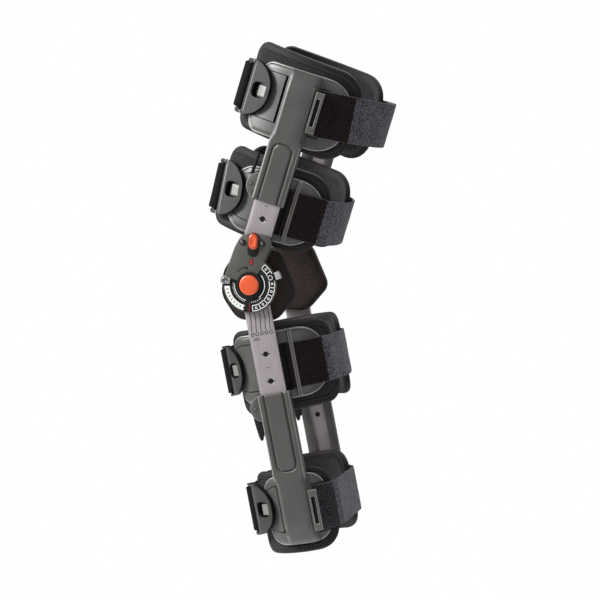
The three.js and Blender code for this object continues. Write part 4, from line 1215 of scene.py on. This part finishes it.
def ear_parts(name):
    """The ear at the channel's inner end, its shadow, pin and lever, as outlines carried straight out."""
    row, bar = CHANNELS[name], BAR_X[CUFFS[name]["bar"]]

    def beside(points):
        """Points from the channel's inner end, along the bar in the channel's way."""
        return np.array(points) * (1, row["way"]) + (bar, row["inner"])

    outline, pin = rounded(beside(EAR_OUTLINE), 3), beside(EAR_PIN)
    under = stacked_rings(outline, [EAR["shadow"]] * 2, EAR["under"], outline.mean(axis=0), 2)
    ear = prism(outline, *EAR["plate"])._replace(soft=0.6)
    lever = prism(rounded(beside(LEVERS[name]), 2), *EAR["lever"], finish=2)
    foot = EAR["pin"]
    head = dome(circle(EAR["pin_radius"], 20, pin), PIN_RINGS, foot, pin)
    ring = arc_band(*EAR["pin_ring"], 0, 360, foot, foot + EAR["pin_ring_tall"], 2, pin, 12)
    return [under, ear, lever, head, ring]


def bridge_parts(name):
    """The bridge that holds the rear strap: a flat frame with a slit, and a black panel behind the slit as
    painted shadow.
    """
    bar, height = BAR_X[CUFFS[name]["bar"]], REAR_STRAPS[name]["height"]
    tall, slit, beyond = BRIDGE["tall"] / 2, BRIDGE["slit_tall"] / 2, 0.8
    x = np.array([CHANNEL["half"] - 1, *BRIDGE["slit"], BRIDGE["reach"]])[:, None] + bar
    z = np.array([-tall, -slit, slit, tall])[None] + height
    keep = np.ones((3, 3), bool)
    keep[1, 1] = False
    layers = [facing(x, out, z) for out in (BRIDGE["outside"], BRIDGE["inside"])]
    bridge = slab(*layers, flat_map(x, z), keep)._replace(soft=0.4)
    left, right = (bar + edge for edge in BRIDGE["slit"])
    # A black panel behind the slit: painted shadow
    dark = box_outline(left - beyond, right + beyond, height - slit - beyond, height + slit + beyond)
    return [bridge, prism(dark, *(BRIDGE["inside"] + back for back in BRIDGE["gap"]), 2)]


def opening_shadows(name):
    """Painted shadow at the strap's opening: a thin black strip on the plate along each edge of the strap.
    """
    cuff, height = CuffOutline(name), REAR_STRAPS[name]["height"]
    start, end = cuff.beside(*OPENING_SHADOW_X)
    parts = []
    for way in (-1, 1):
        z = height + way * (STRAP_WIDTH / 2 + np.array(OPENING_SHADOW["across"]))
        arc, z = np.broadcast_arrays(np.linspace(start, end, 9)[:, None], z[None])
        layers = [cuff.place(arc, PLATE_OUT + lift, z) for lift in OPENING_SHADOW["lifts"]]
        parts.append(slab(*layers, flat_map(arc, z), finish=2)._replace(soft=0))
    return parts


def shell_parts(name):
    """All moulded bodies of one shell."""
    parts = [plate_part(name), post_part(name), shadow_part(name)]
    if name in BOSSES:
        return [*parts, boss_part(name), rib_part(name)]
    parts += [spine_part(name), channel_wall(name), channel_face(name)]
    return [*parts, *ear_parts(name), *bridge_parts(name), *opening_shadows(name)]


# Straps


def rear_line(name):
    """Line of a rear strap: along the plate, down to the pad and over its end, then across the back."""
    cuff, row = CuffOutline(name), REAR_STRAPS[name]
    on_plate, on_pad = PLATE_OUT + STRAP_GAP, PAD_THICK + STRAP_GAP
    pad_end = cuff.reach(PADS[name]["back"], PAD_THICK)
    plate_end = cuff.reach(PLATES[name]["back"], PLATE_OUT)
    skew = row["rise"] * STRAP_WIDTH / cuff.back_arc
    first = cuff.beside(CHANNEL["half"] + REAR_WAY["start"] + REAR_WAY["skew"] * skew)[0]
    down, past = min(plate_end + REAR_WAY["down"], pad_end), REAR_WAY["past"]
    knots = [(first, on_plate), (plate_end + past, on_plate), (down, on_pad), (pad_end + past, on_pad)]
    return strap_line(cuff, row, knots, cuff.bar + cuff.back + row["off"], cuff.back_arc)


def front_line(name):
    """Line of a front strap: up through the clip's slot and over its bar, then across the front."""
    cuff, row = CuffOutline(name), CLIPS[name]
    flat, over = cuff.reach(row["flat"], CLIP_OUT), CLIP_OUT + FRONT_LIFT
    knots = [(flat + along, over + rise) for along, rise in FRONT_KNOTS]
    return strap_line(cuff, row, knots, cuff.bar - cuff.front - row["off"], cuff.front_arc)


def strap_line(cuff, row, knots, apex, middle):
    """Stations of a strap: eased from knot to knot along the cuff, over the arch, and back beyond it."""
    arcs, offs = [[knots[0][0]]], [[knots[0][1]]]
    for (arc0, off0), (arc1, off1) in zip(knots, knots[1:]):
        share = np.linspace(0, 1, max(3, int(abs(arc1 - arc0) / 1.6)))[1:]
        arcs.append(arc0 + share * (arc1 - arc0))
        offs.append(off0 + ease(share) * (off1 - off0))
    arc, off = np.concatenate(arcs), np.concatenate(offs)
    arch, ones = np.linspace(1, -1, 61)[1:-1], np.ones(len(arc))
    return Strap(
        cuff=cuff,
        arc=np.concatenate([arc, np.full(len(arch), arc[-1]), arc[::-1]]),
        off=np.concatenate([off, np.full(len(arch), off[-1]), off[::-1]]),
        side=np.concatenate([ones, arch, -ones]),
        apex=apex,
        height=row["height"],
        rise=row["rise"],
        middle=middle,
        half=knots[0][0] - middle,
    )


def strap_points(line, across, lift):
    """Points of a strap at distances across its width and lifts off its inner face.

    Along the cuff they follow its line. Over the arch x is a parabola of the side, from the line to the
    apex, and the height is a parabola of the way along the strap.
    """
    arc, off, side = line.arc[:, None], line.off[:, None], line.side[:, None]
    share = (arc - line.middle) / line.half
    slope = np.arctan(-2 * line.rise * share / line.half)
    near = line.cuff.place(arc - across * np.sin(slope), off + lift, 0)
    tip = line.apex + np.sign(line.apex - line.cuff.bar) * lift
    z = line.height + line.rise * (1 - (share * side) ** 2) + across * np.cos(slope * side)
    x = tip + (near[..., 0] - tip) * side**2
    return np.stack(np.broadcast_arrays(x, near[..., 1] * side, z), axis=-1)


def strap_part(line, wide, thick, lift=0.0, ripple=0.0):
    """A strap's closed wall: its width by its length, thinner and round towards its two long edges."""
    across = spread(-wide / 2, wide / 2, 3.4, STRAP_EDGE["steps"])[None]
    edge = quarter((wide / 2 - abs(across)) / STRAP_EDGE["round"])
    run = run_along(strap_points(line, np.zeros((1, 1)), lift)[:, 0])[:, None]
    wave = ripple * np.sin(run / RIPPLE["along"] + across / RIPPLE["skew"])
    wave = wave * np.sin(across / RIPPLE["across"] + RIPPLE["shift"])
    middle, rim = lift + thick / 2 + wave, STRAP_EDGE["rim"]
    swell = rim + (thick / 2 - rim) * edge
    layers = [strap_points(line, across, middle + way * swell) for way in (1, -1)]
    return slab(*layers, flat_map(run, across))


def stretch(line, low, high):
    """The stretch of a strap's line between two stations."""
    return line._replace(arc=line.arc[low:high], off=line.off[low:high], side=line.side[low:high])


def seam_part(line, station, wide, lift, long, thick):
    """A sewn row across a strap at one station: stitches end to end over its width."""
    spots = np.arange(-wide / 2 + long, wide / 2 - long / 2, long * STITCH["pitch"])[None]
    here, there = stretch(line, station, station + 1), stretch(line, station + 1, station + 2)
    centres = strap_points(here, spots, lift)[0]
    out = strap_points(here, spots, lift + 1)[0] - centres
    ahead = strap_points(there, spots, lift)[0] - centres
    return capsules(centres, np.cross(out, ahead), out, long, thick)


# Bars and hinges


def bar_part(x, row):
    """A flat bar: a cell with a round hole for each detent, and plain cells to both ends."""
    places = row["first"] + row["way"] * HOLE_PITCH * np.arange(HOLE_COUNT)
    low, high = places.min() - HOLE_PITCH / 2, places.max() + HOLE_PITCH / 2
    cells = [holed_cell(x, z, BAR_HALF, HOLE_PITCH / 2, HOLE_RADIUS) for z in places]
    cells += [plain_cells(x, row["low"], low, BAR_HALF), plain_cells(x, high, row["high"], BAR_HALF)]
    return plate_of_cells(cells, BAR_IN, BAR_OUT)


def bar_marks(x, row):
    """Pointed ticks beside each hole, a black disc sunk in it as painted shade, and a dash between holes."""
    half, (wide, tall) = BAR_MARK["tick_half"], BAR_MARK["dash"]
    parts = []
    for z in row["first"] + row["way"] * HOLE_PITCH * np.arange(HOLE_COUNT):
        for way in (-1, 1):
            root, tip = (x + way * (HOLE_RADIUS + reach) for reach in BAR_MARK["tick"])
            parts.append(prism([(root, z - half), (tip, z), (root, z + half)], *MARK_FACE))
        # A black disc sunk in the hole: painted shade for its depth
        parts.append(prism(circle(HOLE_RADIUS - 0.02, 32, (x, z)), BAR_IN + 0.2, BAR_OUT - 0.9, 1))
        dash = z + row["way"] * HOLE_PITCH / 2
        parts.append(prism(box_outline(x - wide, x + wide, dash - tall, dash + tall), *MARK_FACE))
    return parts


def bar_engraving(x):
    """Five engraved lines that step sideways on their way down, each to a small ring, and two dashes."""
    row = ENGRAVING
    z = np.linspace(*row["lines"], 24)
    step = row["bend"] * ease((z - row["bend_foot"]) / row["bend_long"])
    parts = []
    for column in np.linspace(-row["columns"], row["columns"], 5):
        parts.append(ribbon(x + column + step, z, row["wide"], *MARK_FACE))
        spot = (x + column, row["ring_z"])
        parts.append(arc_band(*row["rings"], 0, 360, *MARK_FACE, centre=spot, step=15))
    left, right, low, high = row["dashes"]
    for drop in (0, row["dash_pitch"]):
        parts.append(prism(box_outline(x + left, x + right, low - drop, high - drop), *MARK_FACE))
    return parts


def neck_and_dial(share=1.0):
    """Outline of the housing: the dial's circle, then the neck with its corners cut round."""
    neck = np.array(COVER_NECK) * share
    start = math.atan2(neck[-1][1], neck[-1][0])
    end = math.atan2(neck[0][1], neck[0][0]) + 2 * math.pi
    turn = np.linspace(start, end, 80)
    dial = np.stack([np.cos(turn), np.sin(turn)], axis=1) * DIAL_RADIUS * share
    points = neck[1:-1]
    for _ in range(3):
        step = (points[1:] - points[:-1]) / 4
        cut = np.stack([points[:-1] + step, points[:-1] + 3 * step], axis=1).reshape(-1, 2)
        points = np.concatenate([points[:1], cut, points[-1:]])
    return np.concatenate([dial, points])


def dial_scales(low, high):
    """Arcs and ticks, white fields with dark gaps on the left, and boxes with small rings on the right."""
    bands = list(DIAL_ARCS)
    for inside, outside, start, end, pitch, wide in DIAL_TICKS:
        bands += [(inside, outside, angle, angle + wide) for angle in np.arange(start, end, pitch)]
    white, boxed = WHITE_FIELDS, BOXED_FIELDS
    edges = np.linspace(*white["angles"], white["count"] + 1)
    for start, end in zip(edges, edges[1:]):
        bands.append((*white["radii"], start + 0.1, start + (end - start) * white["share"]))
    edges = np.linspace(*boxed["angles"], boxed["count"] + 1)
    bands += [(*boxed["radii"], angle - boxed["line"], angle + boxed["line"]) for angle in edges]
    parts = [arc_band(*band, low, high) for band in bands]
    for angle in np.radians(middles(edges)):
        spot = (boxed["ring_at"] * math.cos(angle), boxed["ring_at"] * math.sin(angle))
        parts.append(arc_band(*boxed["ring"], 0, 360, low, high, centre=spot, step=30))
    return parts


def stop_parts(stop):
    """A range stop: a plate on the dial, a metal skirt over its rim, and a round button or ring."""
    row, foot = STOPS[stop], BUTTON_FOOT
    angle, turn = row["angle"], math.radians(row["angle"])
    half, skirt_half = STOP["half"], STOP["skirt_half"]
    low, high = (foot + rise for rise in STOP["skirt_out"])
    top = foot + STOP["thick"]
    spot = (row["button"] * math.cos(turn), row["button"] * math.sin(turn))
    plate_tone, button_tone = row["tones"]
    parts = [
        arc_band(STOP["inside"], row["plate"], angle - half, angle + half, foot, top, plate_tone),
        arc_band(STOP["skirt"], row["out"], angle - skirt_half, angle + skirt_half, low, high),
        dome(circle(STOP["button"], 28, spot), BUTTON_RINGS, foot, spot, button_tone),
    ]
    if stop == "flexion_stop":
        low, high = (foot + rise for rise in STOP["ring_out"])
        parts.append(arc_band(*STOP["ring"], 0, 360, low, high, 2, spot, 15))
    return parts


# Operators


class BRACE_OT_stage(Operator):
    """Pale floor, soft studio light and the camera"""

    bl_idname = "brace.stage"
    bl_label = "Stage"

    def execute(self, context):
        scene = context.scene
        self.floor(scene)
        self.world(scene)
        scene.view_settings.view_transform = "Standard"
        scene.view_settings.look = "None"
        for name, (place, size, power) in LAMPS.items():
            self.light(scene, name, place, size, power)
        self.camera(scene)
        return {"FINISHED"}

    def floor(self, scene):
        """A pale disc under the brace, wide enough to stand it on."""
        mesh = bpy.data.meshes.new("studio_floor")
        rim = circle(FLOOR_RADIUS, 96)
        corners = np.column_stack([rim, np.full(len(rim), FLOOR_LEVEL)])
        mesh.from_pydata(corners.tolist(), [], [list(range(len(rim)))])
        floor = bpy.data.objects.new("studio_floor", mesh)
        scene.collection.objects.link(floor)
        paper = Finish("studio_paper", (0.9, 0.9, 0.9), 0.9)
        paper.tint(paper.noise(3, 2), (0.88, 0.88, 0.88), (0.92, 0.92, 0.92))
        mesh.materials.append(paper.material)

    def world(self, scene):
        """White behind the brace, dimmer where it lights it, so that the lamps give it form."""
        world = bpy.data.worlds.new("studio")
        world.use_nodes = True
        tree = world.node_tree
        sky = tree.nodes["Background"]
        sky.inputs["Color"].default_value = (1, 1, 1, 1)
        path = tree.nodes.new("ShaderNodeLightPath")
        span = tree.nodes.new("ShaderNodeMapRange")
        span.inputs["To Min"].default_value = SKY["on_brace"]
        span.inputs["To Max"].default_value = SKY["behind"]
        tree.links.new(path.outputs["Is Camera Ray"], span.inputs["Value"])
        tree.links.new(span.outputs["Result"], sky.inputs["Strength"])
        scene.world = world

    def light(self, scene, name, place, size, power):
        """A square lamp that faces the middle of the brace."""
        lamp = bpy.data.lights.new(name, "AREA")
        lamp.energy = power
        lamp.size = size
        lamp_object = bpy.data.objects.new(name, lamp)
        lamp_object.location = place
        aim = np.array(place) / np.linalg.norm(place)
        lamp_object.rotation_euler = (0, math.acos(aim[2]), math.atan2(aim[1], aim[0]))
        scene.collection.objects.link(lamp_object)

    def camera(self, scene):
        """The photo's view, with the middle of the hinge axis on its own pixel."""
        around, up = math.radians(VIEW["around"]), math.radians(VIEW["up"])
        right = np.array([math.cos(around), math.sin(around), 0])
        level = np.array([math.sin(around), -math.cos(around), 0])
        back = level * math.cos(up) + np.array([0, 0, math.sin(up)])
        above = np.cross(back, right)
        aside, down = (VIEW["pixel"] * (VIEW["wide"] / 2 - pixel) for pixel in VIEW["origin"])
        lens = bpy.data.cameras.new("camera")
        lens.sensor_width = VIEW["sensor"]
        lens.lens = VIEW["sensor"] * VIEW["far"] / (VIEW["wide"] * VIEW["pixel"])
        camera = bpy.data.objects.new("camera", lens)
        camera.location = right * aside - above * down + back * VIEW["far"]
        camera.rotation_euler = (math.radians(90) - up, 0, around)
        scene.collection.objects.link(camera)
        scene.camera = camera


class BRACE_OT_pads(Operator):
    """Bound foam pads of the cuffs and the cushions inside the hinges"""

    bl_idname = "brace.pads"
    bl_label = "Pads"

    def execute(self, context):
        mix_finishes(context)
        sizes = context.scene.brace_sizes
        binding, stitch = sizes.binding / MM, sizes.stitch / MM
        for name, row in CUFFS.items():
            body, lean = row["body"], LEAN[row["bar"]]
            cloth, pad = ("pad_plush", "pad_binding"), [pad_part(name, binding)]
            pads = both_sides(f"{name}_bound_pad", pad, cloth, body, "pad", lean, f"{name}_pad", sharp=70)
            sewn = [pad_stitches(name, binding, stitch)]
            both_sides(f"{name}_binding_stitch", sewn, ["binding_thread"], body, "pad", lean, sharp=80)
        cloth, lean = ("knee_cloth", "pad_binding"), LEAN["housing"]
        cushion = knee_cushion_parts()
        pads = both_sides("knee_cushion", cushion, cloth, "thigh", "pad", lean, "condyle_pad", sharp=60)
        return {"FINISHED"}


class BRACE_OT_shells(Operator):
    """Moulded shells with their channels, ribs, posts and length tabs"""

    bl_idname = "brace.shells"
    bl_label = "Shells"

    def execute(self, context):
        mix_finishes(context)
        plastics = ("shell_nylon", "painted_edge_highlight", "black_plastic_and_painted_shadow", "post_nylon")
        # Finish 1 on the rounded edges is the painted edge highlight
        looks = {"bevel": context.scene.brace_sizes.edge, "edge_highlight_finish": 1}
        for name, row in CUFFS.items():
            body, lean, node = row["body"], LEAN[row["bar"]], f"{name}_shell"
            both_sides(f"{name}_moulding", shell_parts(name), plastics, body, "shell", lean, node, **looks)
        return {"FINISHED"}


class BRACE_OT_clips(Operator):
    """D-shaped clips that hook the front straps on the posts"""

    bl_idname = "brace.clips"
    bl_label = "Clips"

    def execute(self, context):
        mix_finishes(context)
        # Clip finishes: painted-shade clip plastic, edge highlight, black for painted shade, shell plastic
        # for the ridge's painted highlight
        plastics = ("clip_nylon_painted_shade", "painted_edge_highlight", "black_plastic_and_painted_shadow", "shell_nylon")
        # Finish 1 on the rounded edges is the painted edge highlight
        looks = {"bevel": context.scene.brace_sizes.edge, "edge_highlight_finish": 1}
        for name, row in CUFFS.items():
            body, lean, node = row["body"], LEAN[row["bar"]], f"{name}_clip"
            both_sides(f"{name}_strap_clip", [clip_part(name)], plastics, body, "shell", lean, node, **looks)
        return {"FINISHED"}


class BRACE_OT_straps(Operator):
    """Loop straps at the back with hook tabs and seams, and webbing at the front"""

    bl_idname = "brace.straps"
    bl_label = "Straps"

    def execute(self, context):
        mix_finishes(context)
        stitch = context.scene.brace_sizes.stitch / MM
        for name, row in CUFFS.items():
            body, lean = row["body"], LEAN[row["bar"]]
            place = (lean, SIDES[0])
            line = rear_line(name)
            loop = [strap_part(line, STRAP_WIDTH, STRAP_THICK, ripple=RIPPLE["high"])]
            looks = {"nodes": [f"{name}_rear_strap"], "sharp": 70}
            make_piece(f"{name}_loop_strap", loop, ["strap_loop"], body, "loop_strap", place, **looks)
            self.tabs(name, line, stitch, body, lean)
            web = [strap_part(front_line(name), STRAP_WIDTH - 0.6, STRAP_THICK)]
            looks = {"nodes": [f"{name}_front_strap"], "sharp": 70}
            make_piece(f"{name}_web_strap", web, ["front_webbing"], body, "webbing", place, **looks)
        return {"FINISHED"}

    def tabs(self, name, line, stitch, body, lean):
        """Hook tabs on the strap's first stretch, with two sewn rows near their ends."""
        run = run_along(strap_points(line, np.zeros((1, 1)), STRAP_THICK)[:, 0])
        last = int(np.searchsorted(run, REAR_STRAPS[name]["tab"]))
        lift = STRAP_THICK + HOOK["gap"]
        hook = [strap_part(stretch(line, 0, last), STRAP_WIDTH - HOOK["narrower"], HOOK_THICK, lift)]
        cloth = ["tab_loop" if name == "calf_lower" else "hook_tape"]
        both_sides(f"{name}_hook_tab", hook, cloth, body, "webbing", lean, sharp=70)
        wide, top, thread = STRAP_WIDTH - HOOK["seam_narrower"], lift + HOOK_THICK, STITCH["tab"]
        seam = [seam_part(line, last - back, wide, top, stitch, thread) for back in HOOK["seam_rows"]]
        both_sides(f"{name}_tab_seam", seam, ["sewing_thread"], body, "webbing", lean, sharp=80)


class BRACE_OT_bars(Operator):
    """Aluminium side bars with their holes, ticks and engraved marks"""

    bl_idname = "brace.bars"
    bl_label = "Bars"

    def execute(self, context):
        mix_finishes(context)
        for which, row in BARS.items():
            x, lean = BAR_X[which], LEAN[which]
            body, marks = [bar_part(x, row)], bar_marks(x, row)
            if which == "calf":
                body.append(prism(circle(BAR_EYE, 48), BAR_IN + 0.02, BAR_OUT - 0.02))
                marks += bar_engraving(x)
            metal, looks = ["bar_aluminium"], {"node": f"{which}_bar", "bevel": BEVEL["bar"]}
            both_sides(f"{which}_satin_bar", body, metal, which, "bar", lean, **looks)
            both_sides(f"{which}_bar_marks", marks, ["bar_ink", "black_plastic_and_painted_shadow"], which, "bar", lean)
        return {"FINISHED"}


class BRACE_OT_hinges(Operator):
    """Hinge housings with cap, lock, rivets, stops and dial marks"""

    bl_idname = "brace.hinges"
    bl_label = "Hinges"

    def execute(self, context):
        mix_finishes(context)
        self.housings()
        self.dials()
        self.buttons()
        metals = ("stop_metal", "black_plastic_and_painted_shadow", "dial_ink", "rivet_metal")
        for stop in STOPS:
            body = stop + "_{side}"
            self.pair(f"{stop}_tab", stop_parts(stop), metals, "stop", stop, body, bevel=BEVEL["stop"])
        return {"FINISHED"}

    def pair(self, name, parts, finishes, slot, node=None, body="thigh", **looks):
        """A piece in the housing's frame on both sides."""
        both_sides(name, parts, finishes, body, slot, LEAN["housing"], node, **looks)

    def housings(self):
        """The housing's cover, and a smaller plate behind the bars."""
        plastic = ["housing_nylon"]
        cover = [prism(neck_and_dial(), COVER_IN, COVER_OUT)]
        self.pair("dial_housing", cover, plastic, "housing", "hinge_cover", bevel=BEVEL["cover"])
        outline = neck_and_dial(HOUSING_BACK["share"])
        back = [prism(outline, HOUSING_BACK["inside"], BAR_IN - HOUSING_BACK["gap"])]
        self.pair("housing_back", back, plastic, "housing", "hinge_back_plate", bevel=BEVEL["back"])

    def dials(self):
        """Black dial ring, collar round the cap, arrow, lock pocket, window, pointer and print."""
        foot, top, ink = DIAL_FOOT, DIAL_TOP, DIAL_INK
        black = [
            arc_band(*DIAL_RING, foot, top),
            arc_band(*DIAL_COLLAR, foot, COLLAR_OUT),
            arc_band(*DIAL_ARROW, foot, top),
            prism(circle(ARROW_TIP_RADIUS, 20, ARROW_TIP), foot, top),
            prism(stadium(LOCK["across"], *LOCK_POCKET), foot, top),
            prism(rounded(box_outline(*WINDOW), 1), foot, top - 0.04),
        ]
        self.pair("dial_ring", black, ["black_plastic_and_painted_shadow"], "housing", bevel=BEVEL["ring"])
        self.pair("dial_print", dial_scales(top, ink), ["dial_ink"], "housing")
        red = [prism(rounded(box_outline(*PANE), 1), foot, ink), prism(box_outline(*POINTER), top, ink)]
        self.pair("dial_window", red, ["red_window"], "housing")

    def buttons(self):
        """Orange cap and drop lock, the lock's outer rings darker as painted shade, and rivets on black
        washers.
        """
        foot = BUTTON_FOOT
        cap = [dome(circle(CAP_RADIUS, 72), CAP_RINGS, foot)]
        self.pair("orange_cap", cap, ["orange_plastic"], "orange", "hinge_cap", sharp=50)
        outline = stadium(LOCK["across"], LOCK["half"], LOCK["low"], LOCK["high"])
        middle = (LOCK["across"], (LOCK["low"] + LOCK["high"]) / 2)
        # The lock's outer rings take darker orange: painted shade on its rounded sides
        painted_shade_rings = np.repeat([1, 0], [4 * len(outline), 3 * len(outline) + 2])
        lock = [dome(outline, LOCK_RINGS, COVER_OUT, middle, painted_shade_rings)]
        oranges = ("orange_plastic", "orange_painted_shade")
        self.pair("orange_lock", lock, oranges, "orange", "lock_slider", "lock_{side}", sharp=50)
        for which, spot in RIVETS.items():
            head = dome(circle(RIVET_RADIUS, 32, spot), RIVET_RINGS, foot, spot)
            washer = dome(circle(WASHER_RADIUS, 32, spot), WASHER_RINGS, foot, spot, 1)
            metals = ("rivet_metal", "black_plastic_and_painted_shadow")
            self.pair(f"rivet_{which}", [head, washer], metals, "rivet", f"hinge_rivet_{which}", sharp=50)


class BRACE_PT_panel(Panel):
    """Sizes, colours and the steps that dress the brace"""

    bl_label = "Knee brace"
    bl_space_type = "VIEW_3D"
    bl_region_type = "UI"
    bl_category = "Brace"

    def draw(self, context):
        for group in (context.scene.brace_sizes, context.scene.brace_colours):
            for name in group.bl_rna.properties.keys():
                if name not in {"rna_type", "name"}:
                    self.layout.prop(group, name)
        for step in STEPS:
            self.layout.operator(step.bl_idname)


STEPS = (
    BRACE_OT_stage,
    BRACE_OT_pads,
    BRACE_OT_shells,
    BRACE_OT_clips,
    BRACE_OT_straps,
    BRACE_OT_bars,
    BRACE_OT_hinges,
)
CLASSES = (BraceColours, BraceSizes, *STEPS, BRACE_PT_panel)


def register():
    """Makes the classes and the scene's settings known."""
    for each in CLASSES:
        bpy.utils.register_class(each)
    bpy.types.Scene.brace_colours = PointerProperty(type=BraceColours)
    bpy.types.Scene.brace_sizes = PointerProperty(type=BraceSizes)


def unregister():
    """Takes them away again."""
    del bpy.types.Scene.brace_sizes
    del bpy.types.Scene.brace_colours
    for each in reversed(CLASSES):
        bpy.utils.unregister_class(each)


def main():
    """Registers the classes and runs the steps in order."""
    register()
    for step in STEPS:
        family, name = step.bl_idname.split(".")
        getattr(getattr(bpy.ops, family), name)()


if __name__ == "__main__":
    main()
